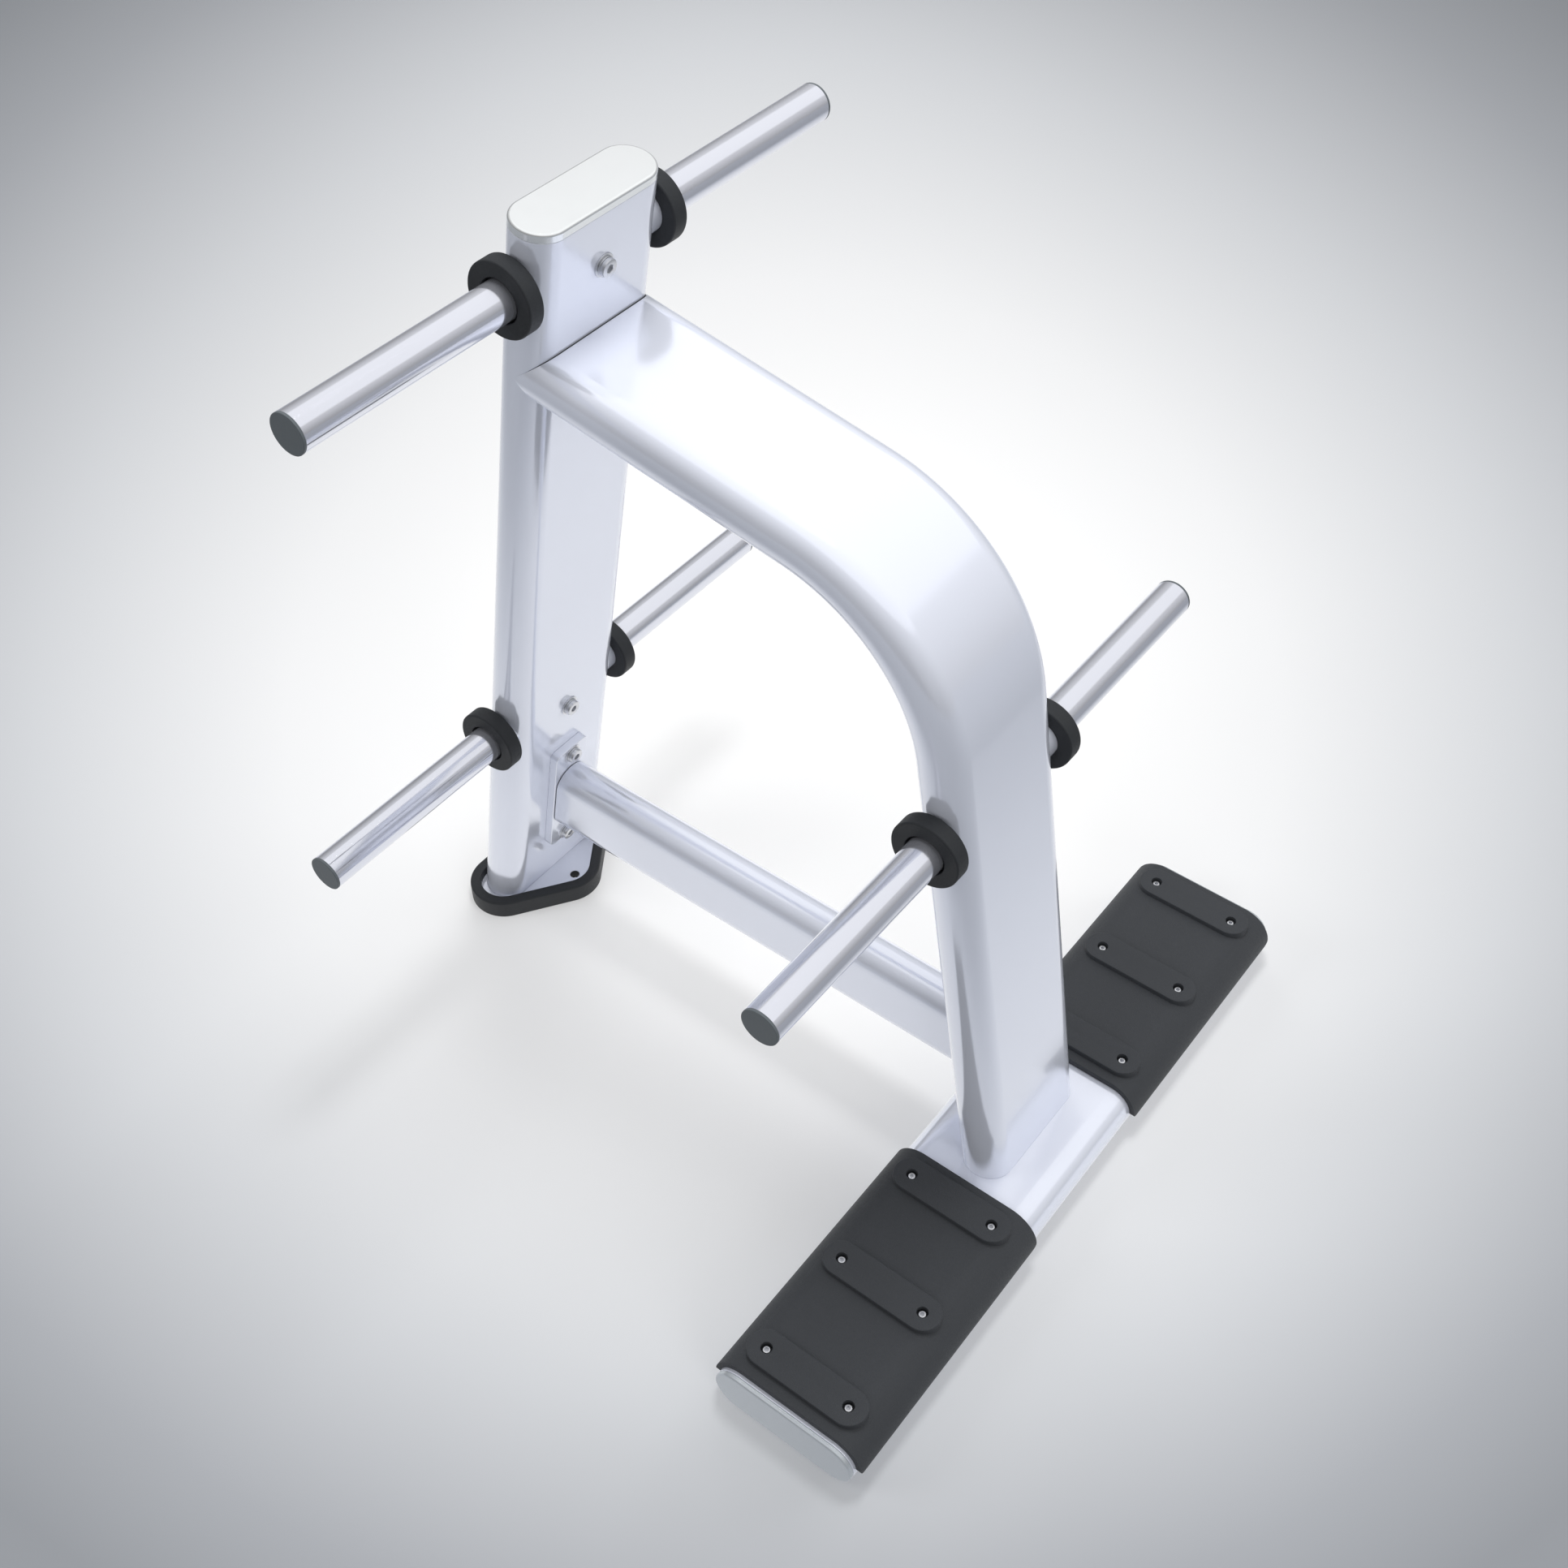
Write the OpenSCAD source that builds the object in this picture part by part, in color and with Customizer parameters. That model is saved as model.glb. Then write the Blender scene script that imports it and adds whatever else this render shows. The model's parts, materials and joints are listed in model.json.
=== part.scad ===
// Storage stand for disc weights: a leaning flat-oval upright, a bent flat-oval arch that
// butts against its front face, a low cross tube, a wide base beam with two rubber step pads,
// and three chrome horn bars that pass through the frame, one over the other two.
// X runs along the horns and the base beam, Y from the base beam to the rear upright, Z up.
// The origin lies on the floor, in the symmetry plane, midway between the stand's front and back.

/* [Frame tube] */
// Width of the flat-oval tube, along X
tube_w = 182; // [160:1:200]
// Thickness of the flat-oval tube
tube_t = 60; // [56:1:64]
// Wall of the flat-oval tube
tube_wall = 3; // [2:0.5:3.5]
// Lean of the upright to the front, and of the arch's leg to the rear, in degrees
lean = 9.9; // [8:0.1:12]
// Gap that shows as a thin line where a coped tube end meets its neighbour
cope_gap = 0.3; // [0.1:0.1:0.5]

/* [Rear upright] */
// Distance of the upright's axis behind the leg's foot point, at floor level
upright_back = 772.5; // [740:0.5:800]
// Length of the upright from floor level to the face of its cap, along its axis
upright_len = 1089; // [1070:1:1120]
// Thickness of the cap that shows above the tube
top_cap_t = 10; // [8:0.5:12]
// Radius of the cap's upper edge
top_cap_edge = 3; // [1:0.5:3.5]
// Depth of the plugs that hold the tube caps
plug_depth = 20; // [12:1:24]
// Wall of the plugs that hold the tube caps
plug_wall = 3; // [2:0.5:4]
// Clearance round a plug or a pushed-in part
plug_fit = 0.2; // [0.1:0.05:0.3]

/* [Arch] */
// Distance from the cap's face down to the arch's upper side, along the upright
arch_drop = 144.6; // [135:0.1:160]
// Radius of the arch's bend, on the tube's centre line
bend_r = 222; // [190:1:240]

/* [Cross tube] */
// Height of the cross tube
cross_h = 106.6; // [90:0.2:110]
// Width of the cross tube, along X
cross_w = 52.5; // [46:0.5:54]
// Wall of the cross tube
cross_wall = 2.5; // [2:0.5:3]
// Height of the cross tube's axis above the floor
cross_z = 182.5; // [180:0.5:190]
// Width of the flange that bolts the cross tube to the upright
flange_w = 57; // [55:1:64]
// Distance of the flange's ends from the middles of its bolts
flange_end = 12.5; // [11:0.5:16]
// Thickness of the flange
flange_t = 11; // [8:1:12]
// Corner radius of the flange
flange_r = 8; // [2:1:12]
// Distance between the flange's two bolts
flange_pitch = 163; // [158:1:164]

/* [Base beam] */
// Length of the base beam over both caps
base_len = 920; // [900:2:960]
// Distance of the beam's centre line behind the leg's foot point, negative to the front
base_shift = -1.5; // [-4:0.5:4]
// Thickness of the caps that close the beam
base_cap_t = 6; // [5:0.5:8]
// Radius of the edge of the beam's caps
base_cap_edge = 2.5; // [1:0.5:2.5]
// Height of the glides under the beam
glide_t = 4; // [3:0.5:6]
// Diameter of a glide
glide_d = 44; // [30:1:50]
// Diameter of the stem that holds a glide
glide_stem_d = 8; // [6:1:12]
// Length of the stem above the glide
glide_stem_len = 14; // [10:1:20]
// Distance of a glide's centre from the end of the beam
glide_inset = 60; // [50:1:80]
// Distance between the glides of one pair, across the beam
glide_pitch = 70; // [60:1:76]

/* [Step pads] */
// Distance of a pad's inner end from the symmetry plane
pad_x = 109; // [104:1:120]
// Bare strip between a pad and the beam's cap
pad_end_gap = 4; // [2:1:10]
// Thickness of the pad on the upper side of the beam
pad_t = 8.8; // [7.6:0.2:9]
// Thickness of the pad on the beam's sides
pad_side_t = 6.5; // [5:0.5:7]
// How far the pad reaches below the beam's mid height
pad_wrap = 3; // [1:1:8]
// Radius of the pad's lower corners
pad_corner_r = 8; // [4:1:12]
// Clearance between the pad and the beam
pad_fit = 0.2; // [0.1:0.05:0.3]
// Width of a raised rib
rib_w = 44; // [40:1:46]
// Height of a raised rib over the pad
rib_h = 7; // [6.6:0.2:8]
// Radius of a rib's upper edge
rib_edge = 1.2; // [0.6:0.2:2]
// Distance of the outer ribs' middle lines from the pad's ends
rib_inset = 34.5; // [33:0.5:40]
// Distance between the two screws of a rib
screw_pitch = 108.8; // [100:0.2:112]
// Diameter of the recess round a screw head
recess_d = 13.6; // [12:0.2:15]
// Depth of that recess
recess_depth = 8.9; // [8:0.1:10]
// Diameter of the pad screws
screw_d = 5; // [4:0.5:6]
// Length of a pad screw under its head
screw_len = 18; // [16:1:20]
// Diameter of a pad screw's head
screw_head_d = 8.5; // [8:0.1:9.5]
// Height of a pad screw's head
screw_head_h = 5; // [4:0.2:5.4]
// Width of the bevel on a pad screw's head
screw_bevel = 0.4; // [0.2:0.1:0.8]
// Width of a pad screw's hexagon socket, across flats
screw_hex_af = 4; // [3:0.5:5]
// Diameter of the flange of a blind nut
nut_flange_d = 10; // [9.6:0.2:12]
// Thickness of that flange
nut_flange_t = 1; // [0.8:0.1:1.2]
// Wall round the thread of a blind nut
nut_wall = 1.2; // [1:0.1:1.6]
// Length of a blind nut's body
nut_len = 12; // [10:1:14]

/* [Horns] */
// Diameter of the horn bars
horn_d = 42.4; // [40:0.1:43]
// Wall of the horn bars
horn_wall = 2.6; // [2:0.2:3.2]
// Distance from the symmetry plane to a horn's tip
horn_reach = 375.4; // [340:0.2:400]
// Distance from the cap's face down to the top horn, along the upright
top_horn_drop = 70; // [66:0.5:76]
// Height of the low horn along the upright, from floor level
low_horn_s = 358; // [352:1:380]
// Distance from the bend down to the front horn, along the leg
front_horn_drop = 86.7; // [50:0.1:120]
// Wall of the socket tube round a horn
socket_wall = 1.8; // [1.4:0.1:2]
// Radial clearance between a horn and its socket
horn_fit = 0.2; // [0.1:0.05:0.3]
// How far the socket stands out of the frame tube
socket_out = 13; // [11:0.5:16]
// Outer diameter of the rubber collars
collar_d = 80.6; // [70:0.2:90]
// Width of a collar
collar_w = 19.5; // [17:0.5:22]
// Gap between the frame tube and a collar
collar_gap = 3.1; // [2:0.1:5]
// Radius of a collar's edges
collar_edge = 2; // [1:0.5:3]
// Thickness of the disc that closes a horn
horn_cap_t = 3; // [2:0.5:4]
// Width of the bevel on that disc
horn_cap_bevel = 0.8; // [0.4:0.2:1.2]
// Length of the threaded slug inside a horn
slug_len = 50; // [40:1:70]

/* [Bolts] */
// Diameter of the frame bolts
bolt_d = 12; // [10:1:12]
// Diameter of a bolt's head
head_d = 20; // [18:0.5:21]
// Height of a bolt's head
head_h = 5; // [4.5:0.5:8]
// Width of the bevel on a bolt's head
head_bevel = 1; // [0.4:0.2:1.6]
// Width of a bolt's hexagon socket, across flats
hex_af = 8; // [6:0.5:9]
// Share of a head's height that its hexagon socket takes
hex_share = 0.6; // [0.4:0.05:0.7]
// Diameter of the flat washers
washer_d = 26; // [24:0.5:28]
// Thickness of the flat washers
washer_t = 1.6; // [1:0.2:2.4]
// Diameter of the spring washers
lock_d = 21.5; // [19:0.5:23]
// Thickness of the spring washers
lock_t = 2; // [1.4:0.2:3]
// Width of the slit in a spring washer
lock_slit = 1.2; // [0.8:0.1:2]
// Length of the bolts that hold the horns, under the head
horn_bolt_len = 40; // [38:1:45]
// Length of the bolts that hold the flange, under the head
flange_bolt_len = 30; // [28:1:34]
// Diameter of the weld nuts inside the upright
weld_nut_d = 22; // [19:1:26]
// Height of those weld nuts
weld_nut_h = 12; // [10:1:14]
// Clearance of a hole round a bolt or screw
hole_fit = 0.5; // [0.2:0.1:0.8]

/* [Foot] */
// Half distance between the rear lobes of the foot
foot_half = 69; // [66:0.5:76]
// Distance from the rear lobes to the front lobe
foot_depth = 47; // [40:1:60]
// Distance of the rear lobes in front of the upright's axis, at the plate
foot_shift = 1.5; // [1.2:0.1:1.6]
// Outer radius of the shoe's lobes
shoe_r = 46.5; // [46.2:0.1:49]
// Wall of the shoe
shoe_wall = 14; // [10:0.5:14]
// Height of the shoe's rim
shoe_h = 26.7; // [22:0.1:32]
// Thickness of the shoe's floor
shoe_floor = 6.7; // [4:0.1:8]
// Radius of the shoe's upper outer edge
shoe_edge = 3; // [1:0.5:4]
// Thickness of the foot plate
plate_t = 8; // [6:0.5:10]
// How far the plate's edge sits in the shoe's groove
plate_grip = 4; // [2:0.5:6]
// Diameter of the anchor hole
anchor_d = 13; // [11:0.5:14]
// Distance of the anchor hole behind the centre of the front lobe
anchor_back = -15.5; // [-18:0.5:-8]
// Extra width of the hole in the shoe, round the anchor hole
shoe_hole_extra = 5; // [3:0.5:8]

/* [Hidden] */
$fn = 64;
// Facets of a full circle on the shoe's outside
shoe_facets = 40;
STEEL = [0.86, 0.87, 0.92];
CHROME = [0.78, 0.79, 0.82];
ZINC = [0.70, 0.71, 0.74];
RUBBER = [0.20, 0.20, 0.22];
PAD = [0.24, 0.25, 0.27];
PLASTIC = [0.30, 0.31, 0.33];

// Length by which a cutting body runs past what it cuts
over = 5;
// Step between two surfaces that run into each other without a seam
hair = 0.1;
// Angle by which the bend reaches into the straight runs
bend_lap = 0.25;
half_t = tube_t / 2;
half_w = tube_w / 2;

base_z = glide_t + half_t;
base_top = glide_t + tube_t;
beam_len = base_len - 2 * base_cap_t;

plate_top = shoe_floor + plate_t;
// Distance of the foot's rear lobes behind the leg's foot point
foot_back = upright_back - plate_top * tan(lean) - foot_shift;
// The leg's foot point, placed so that the origin is midway between the pads' front and the shoe's back
leg_y = (half_w + pad_side_t - base_shift - foot_back - shoe_r) / 2;
base_y = leg_y + base_shift;
upright_y = leg_y + upright_back;

// Unit vectors, in Y and Z, along the arch's top run to the front and up its leg
run_dir = [-cos(lean), -sin(lean)];
leg_dir = [sin(lean), cos(lean)];
up_dir = [-sin(lean), cos(lean)];

function cross2(a, b) = a[0] * b[1] - a[1] * b[0];

// The run and the leg meet, if there were no bend, at one corner
arch_s = upright_len - arch_drop - half_t;
run_start = [upright_y, 0] + arch_s * up_dir;
leg_start = [leg_y, base_top];
arch_turn = 90 - 2 * lean;
bend_cut = bend_r * tan(arch_turn / 2);
run_to_corner = cross2(leg_start - run_start, leg_dir) / cross2(run_dir, leg_dir);
leg_to_corner = cross2(run_start - leg_start, run_dir) / cross2(leg_dir, run_dir);
run_len = run_to_corner - bend_cut;
leg_len = leg_to_corner - bend_cut;
bend_centre = leg_start + leg_len * leg_dir + bend_r * [cos(lean), -sin(lean)];

top_horn_s = upright_len - top_horn_drop;
front_horn_s = leg_len - front_horn_drop;
horn_id = horn_d - 2 * horn_wall;
socket_id = horn_d + 2 * horn_fit;
socket_d = socket_id + 2 * socket_wall;
socket_end = half_w + socket_out;
collar_in = half_w + collar_gap;
collar_out = collar_in + collar_w;
horn_end = horn_reach - horn_cap_t;
// The bar is ground down by this much where the socket and the collars hold it
seat_step = 0.4;

bolt_hole_d = bolt_d + 2 * hole_fit;
thread_fit = 0.1;
washers_t = washer_t + lock_t;
// Height of the cross tube's axis along the upright's front face
flange_s = (cross_z + half_t * sin(lean)) / cos(lean);
flange_h = flange_pitch + 2 * flange_end;

foot_rear_y = leg_y + foot_back;
foot_apex_y = foot_rear_y - foot_depth;
shoe_in_r = shoe_r - shoe_wall;
plate_r = shoe_in_r + plate_grip;
anchor_y = foot_apex_y + anchor_back;
// Anticlockwise, so that the outward normal lies to the right of each side
foot_lobes = [[-foot_half, foot_rear_y], [0, foot_apex_y], [foot_half, foot_rear_y]];
function next_lobe(i) = foot_lobes[(i + 1) % 3];
function foot_normal(i) = let (d = (next_lobe(i) - foot_lobes[i]) / norm(next_lobe(i) - foot_lobes[i]))
    [d[1], -d[0]];

pad_end = beam_len / 2 - pad_end_gap;
pad_mid = (pad_x + pad_end) / 2;
rib_pitch = (pad_end - pad_x) / 2 - rib_inset;
pad_top = base_top + pad_t;
rib_top = pad_top + rib_h;
screw_seat = rib_top - recess_depth;
nut_d = screw_d + 2 * nut_wall;
rib_xs = [for (i = [-1:1]) pad_mid + i * rib_pitch];

// Flat oval: a rectangle with half-round ends, long way along X
module flat_oval(w, t) {
    square([w - t, t], center = true);
    for (s = [-1, 1]) {
        translate([s * (w - t) / 2, 0]) circle(d = t);
    }
}

module tube_section(w, t, wall) {
    difference() {
        flat_oval(w, t);
        flat_oval(w - 2 * wall, t - 2 * wall);
    }
}

module rounded_rect(w, h, r) {
    square([w - 2 * r, h], center = true);
    square([w, h - 2 * r], center = true);
    for (x = [-1, 1], y = [-1, 1]) {
        translate([x * (w / 2 - r), y * (h / 2 - r)]) circle(r);
    }
}

// Outline round the foot's three lobes: their circles, joined by straight tangents
module foot_outline(r) {
    polygon([for (i = [0:2], p = [foot_lobes[i], next_lobe(i)]) p + r * foot_normal(i)]);
    for (p = foot_lobes) {
        translate(p) circle(r);
    }
}

// Half of a plate's profile, with its upper outer edge rounded
module edge_profile(half, h, edge) {
    square([half, h - edge]);
    square([half - edge, h]);
    translate([half - edge, h - edge]) circle(edge);
}

// Flat-oval plate, its upper edge rounded
module soft_oval(w, t, h, edge) {
    for (s = [-1, 1]) {
        translate([s * (w - t) / 2, 0, 0]) rotate_extrude() edge_profile(t / 2, h, edge);
    }
    along_x((t - w) / 2, (w - t) / 2) {
        edge_profile(t / 2, h, edge);
        mirror([1, 0]) edge_profile(t / 2, h, edge);
    }
}

// Block round the foot's three lobes, its upper edge rounded
module soft_foot(r, h, edge) {
    hull() {
        for (p = foot_lobes) {
            translate([p[0], p[1], 0]) rotate_extrude($fn = shoe_facets) edge_profile(r, h, edge);
        }
    }
}

// Body along X, from x0 to x1, of an outline drawn in Y and Z
module along_x(x0, x1) {
    translate([x0, 0, 0]) rotate([90, 0, 90]) linear_extrude(x1 - x0) children();
}

module rod_x(x0, x1, d) {
    translate([x0, 0, 0]) rotate([0, 90, 0]) cylinder(h = x1 - x0, d = d);
}

module on_side(side) {
    if (side < 0) {
        mirror([1, 0, 0]) children();
    } else {
        children();
    }
}

// Z along the upright, -Y out of its front face
module on_upright() {
    translate([0, upright_y, 0]) rotate([lean, 0, 0]) children();
}

// Z up the arch's leg, +Y out of its rear face
module on_leg() {
    translate([0, leg_start[0], leg_start[1]]) rotate([-lean, 0, 0]) children();
}

module at_horn(level) {
    if (level == "front") {
        on_leg() translate([0, 0, front_horn_s]) children();
    } else {
        on_upright() translate([0, 0, level == "top" ? top_horn_s : low_horn_s]) children();
    }
}

// Turned so that +Y points to the face that carries the horn's bolt
module bolt_way(level) {
    mirror([0, level == "front" ? 0 : 1, 0]) children();
}

// On the face that carries the horn's bolt, with Z out of it
module at_horn_bolt(level) {
    at_horn(level) bolt_way(level) translate([0, half_t, 0]) rotate([-90, 0, 0]) children();
}

// On the upright's front face, behind the flange, with Z out of it
module at_flange_bolts() {
    for (s = [-1, 1]) {
        on_upright() translate([0, -half_t, flange_s + s * flange_pitch / 2]) rotate([90, 0, 0])
            children();
    }
}

// Cylinder-head bolt with a hexagon socket, its head's underside at Z = 0
module cap_bolt(d, len, hd, hh, bevel, af) {
    difference() {
        rotate_extrude() polygon([[0, -len], [d / 2, -len], [d / 2, 0], [hd / 2, 0],
            [hd / 2, hh - bevel], [hd / 2 - bevel, hh], [0, hh]]);
        translate([0, 0, hh * (1 - hex_share)]) cylinder(h = hh, d = af / cos(30), $fn = 6);
    }
}

module ring(d, hole, t) {
    difference() {
        cylinder(h = t, d = d);
        translate([0, 0, -over]) cylinder(h = t + 2 * over, d = hole);
    }
}

// Spring washer with its slit
module split_ring(d, hole, t) {
    difference() {
        ring(d, hole, t);
        translate([0, -lock_slit / 2, -over]) cube([d, lock_slit, t + 2 * over]);
    }
}

// Plug that fits into an open tube end, below Z = 0
module oval_plug(w, t) {
    translate([0, 0, -plug_depth]) linear_extrude(plug_depth)
        tube_section(w - 2 * plug_fit, t - 2 * plug_fit, plug_wall);
}

// Opening that the socket passes through, on both sides of a frame tube
module socket_hole() {
    rod_x(-tube_w, tube_w, socket_d + 2 * plug_fit);
}

module bolt_hole(len) {
    translate([0, 0, -len]) cylinder(h = len + over, d = bolt_hole_d);
}

module horn_bar(level) {
    at_horn(level) difference() {
        union() {
            rod_x(-collar_out, collar_out, horn_d - 2 * seat_step);
            rod_x(-horn_end, -collar_out, horn_d);
            rod_x(collar_out, horn_end, horn_d);
        }
        rod_x(-horn_reach, horn_reach, horn_id);
        bolt_way(level) rotate([-90, 0, 0]) cylinder(h = horn_d, d = bolt_hole_d);
    }
}

module socket(level) {
    at_horn(level) difference() {
        rod_x(-socket_end, socket_end, socket_d);
        rod_x(-socket_end - over, socket_end + over, socket_id);
        bolt_way(level) rotate([-90, 0, 0]) cylinder(h = socket_d, d = bolt_hole_d);
    }
}

// Slug inside the bar, threaded for the bolt
module horn_slug(level) {
    at_horn(level) difference() {
        rod_x(-slug_len / 2, slug_len / 2, horn_id - 2 * plug_fit);
        rotate([90, 0, 0]) cylinder(h = horn_d, d = bolt_d + 2 * thread_fit, center = true);
    }
}

module collar(level, side) {
    at_horn(level) on_side(side) translate([collar_in, 0, 0]) rotate([0, 90, 0])
        difference() {
            translate([0, 0, collar_w / 2]) rotate_extrude() {
                edge_profile(collar_d / 2, collar_w / 2, collar_edge);
                mirror([0, 1]) edge_profile(collar_d / 2, collar_w / 2, collar_edge);
            }
            translate([0, 0, -over]) cylinder(h = collar_w + 2 * over, d = socket_d + 2 * plug_fit);
        }
}

module horn_cap(level, side) {
    flat = horn_cap_t - horn_cap_bevel;
    at_horn(level) on_side(side) translate([horn_end, 0, 0]) rotate([0, 90, 0])
        rotate_extrude() polygon([[0, -plug_depth], [horn_id / 2 - plug_fit, -plug_depth],
            [horn_id / 2 - plug_fit, 0], [horn_d / 2, 0], [horn_d / 2, flat],
            [horn_d / 2 - horn_cap_bevel, horn_cap_t], [0, horn_cap_t]]);
}

module horn_bolt(level) {
    at_horn_bolt(level) translate([0, 0, washers_t])
        cap_bolt(bolt_d, horn_bolt_len, head_d, head_h, head_bevel, hex_af);
}

module horn_washer(level) {
    at_horn_bolt(level) ring(washer_d, bolt_hole_d, washer_t);
}

module horn_lock_washer(level) {
    at_horn_bolt(level) translate([0, 0, washer_t]) split_ring(lock_d, bolt_hole_d, lock_t);
}

module at_pad_screws(side) {
    for (x = rib_xs, y = [-1, 1]) {
        on_side(side) translate([x, base_y + y * screw_pitch / 2, 0]) children();
    }
}

// One step pad: a moulded sheet that wraps the beam down to its widest line, with raised ribs
module step_pad(side) {
    wrap_z = base_z - pad_wrap;
    on_side(side) difference() {
        union() {
            intersection() {
                translate([0, base_y, base_z]) along_x(pad_x, pad_end)
                    flat_oval(tube_w + 2 * pad_side_t, tube_t + 2 * pad_t);
                translate([pad_mid, base_y, (wrap_z + pad_top + tube_t) / 2]) rotate([90, 0, 0])
                    linear_extrude(2 * tube_w, center = true)
                        rounded_rect(pad_end - pad_x, pad_top + tube_t - wrap_z, pad_corner_r);
            }
            for (x = rib_xs) {
                translate([x, base_y, base_top]) rotate(90)
                    soft_oval(screw_pitch + rib_w, rib_w, rib_top - base_top, rib_edge);
            }
        }
        translate([0, base_y, base_z]) along_x(0, base_len)
            flat_oval(tube_w + 2 * pad_fit, tube_t + 2 * pad_fit);
        translate([0, base_y - tube_w, 0]) cube([base_len, 2 * tube_w, wrap_z]);
        for (x = rib_xs, y = [-1, 1]) {
            translate([x, base_y + y * screw_pitch / 2, 0]) {
                translate([0, 0, screw_seat]) cylinder(h = recess_depth + over, d = recess_d);
                cylinder(h = rib_top, d = screw_d + 2 * hole_fit);
                cylinder(h = base_top + nut_flange_t + pad_fit, d = nut_flange_d + 2 * pad_fit);
            }
        }
    }
}

module pad_screws(side) {
    at_pad_screws(side) translate([0, 0, screw_seat])
        cap_bolt(screw_d, screw_len, screw_head_d, screw_head_h, screw_bevel, screw_hex_af);
}

module pad_nuts(side) {
    at_pad_screws(side) translate([0, 0, base_top]) difference() {
        union() {
            translate([0, 0, -nut_len]) cylinder(h = nut_len, d = nut_d);
            cylinder(h = nut_flange_t, d = nut_flange_d);
        }
        translate([0, 0, -nut_len - over])
            cylinder(h = nut_len + 2 * over, d = screw_d + 2 * thread_fit);
    }
}

module base_cap(side) {
    on_side(side) translate([beam_len / 2, base_y, base_z]) rotate([90, 0, 90]) {
        soft_oval(tube_w, tube_t, base_cap_t, base_cap_edge);
        oval_plug(tube_w - 2 * tube_wall, tube_t - 2 * tube_wall);
    }
}

// The arch's tube, swept along its run, bend and leg, and past its ends where it is to be cut.
// The bend's wall is thinner by a hair on both sides, and ends inside the straight walls.
module arch_sweep() {
    translate([0, run_start[0], run_start[1]]) rotate([90 + lean, 0, 0])
        linear_extrude(run_len) tube_section(tube_w, tube_t, tube_wall);
    translate([0, bend_centre[0], bend_centre[1]]) rotate([0, 90, 0])
        rotate(180 + lean - bend_lap)
            rotate_extrude(angle = arch_turn + 2 * bend_lap) translate([bend_r, 0]) rotate(90)
                tube_section(tube_w - 2 * hair, tube_t - 2 * hair, tube_wall - 2 * hair);
    on_leg() translate([0, 0, -half_t])
        linear_extrude(leg_len + half_t) tube_section(tube_w, tube_t, tube_wall);
}

module rear_upright() {
    color(STEEL) difference() {
        on_upright() difference() {
            translate([0, 0, -half_t]) linear_extrude(upright_len - top_cap_t + half_t)
                tube_section(tube_w, tube_t, tube_wall);
            for (s = [top_horn_s, low_horn_s]) {
                translate([0, 0, s]) socket_hole();
            }
        }
        translate([-tube_w, 0, plate_top - tube_w]) cube([2 * tube_w, 2 * upright_y, tube_w]);
        for (level = ["top", "low"]) {
            at_horn_bolt(level) bolt_hole(half_t);
        }
        at_flange_bolts() bolt_hole(half_t);
    }
}

module upright_top_cap() {
    color(STEEL) on_upright() translate([0, 0, upright_len - top_cap_t]) {
        soft_oval(tube_w, tube_t, top_cap_t, top_cap_edge);
        oval_plug(tube_w - 2 * tube_wall, tube_t - 2 * tube_wall);
    }
}

module foot_plate() {
    color(STEEL) difference() {
        translate([0, 0, shoe_floor]) linear_extrude(plate_t) foot_outline(plate_r - plug_fit);
        translate([0, anchor_y, 0]) cylinder(h = shoe_h, d = anchor_d);
    }
}

// Moulded shoe: a floor under the plate and a rim that grips the plate's edge
module foot_rubber() {
    color(RUBBER) difference() {
        soft_foot(shoe_r, shoe_h, shoe_edge);
        translate([0, 0, shoe_floor]) linear_extrude(shoe_h) foot_outline(shoe_in_r);
        translate([0, 0, shoe_floor]) linear_extrude(plate_t + plug_fit) foot_outline(plate_r);
        translate([0, anchor_y, -over])
            cylinder(h = shoe_h, d = anchor_d + shoe_hole_extra);
    }
}

// One tube bent once, coped to the upright's front face and cut level on the base beam
module front_arch() {
    color(STEEL) difference() {
        arch_sweep();
        on_upright() linear_extrude(2 * upright_len)
            flat_oval(tube_w + 2 * cope_gap, tube_t + 2 * cope_gap);
        translate([-tube_w, leg_y - tube_w, base_top - tube_w]) cube([2 * tube_w, 2 * tube_w, tube_w]);
        at_horn("front") socket_hole();
        at_horn_bolt("front") bolt_hole(half_t);
    }
}

module base_beam() {
    color(STEEL) difference() {
        translate([0, base_y, base_z]) along_x(-beam_len / 2, beam_len / 2)
            tube_section(tube_w, tube_t, tube_wall);
        for (side = [-1, 1]) {
            at_pad_screws(side) translate([0, 0, base_z])
                cylinder(h = tube_t, d = nut_d + 2 * plug_fit);
        }
        at_glides() cylinder(h = base_z, d = glide_stem_d + 2 * plug_fit);
    }
}

module base_cap_left() {
    color(STEEL) base_cap(-1);
}

module base_cap_right() {
    color(STEEL) base_cap(1);
}

module at_glides() {
    for (x = [-1, 1], y = [-1, 1]) {
        translate([x * (base_len / 2 - glide_inset), base_y + y * glide_pitch / 2, 0]) children();
    }
}

// Glides under the beam, each pushed into the tube by its stem
module base_glides() {
    color(PLASTIC) at_glides() {
        cylinder(h = glide_t, d = glide_d);
        cylinder(h = glide_t + glide_stem_len, d = glide_stem_d);
    }
}

module step_pad_left() {
    color(PAD) step_pad(-1);
}

module step_pad_right() {
    color(PAD) step_pad(1);
}

module pad_screws_left() {
    color(ZINC) pad_screws(-1);
}

module pad_screws_right() {
    color(ZINC) pad_screws(1);
}

module pad_nuts_left() {
    color(ZINC) pad_nuts(-1);
}

module pad_nuts_right() {
    color(ZINC) pad_nuts(1);
}

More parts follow.
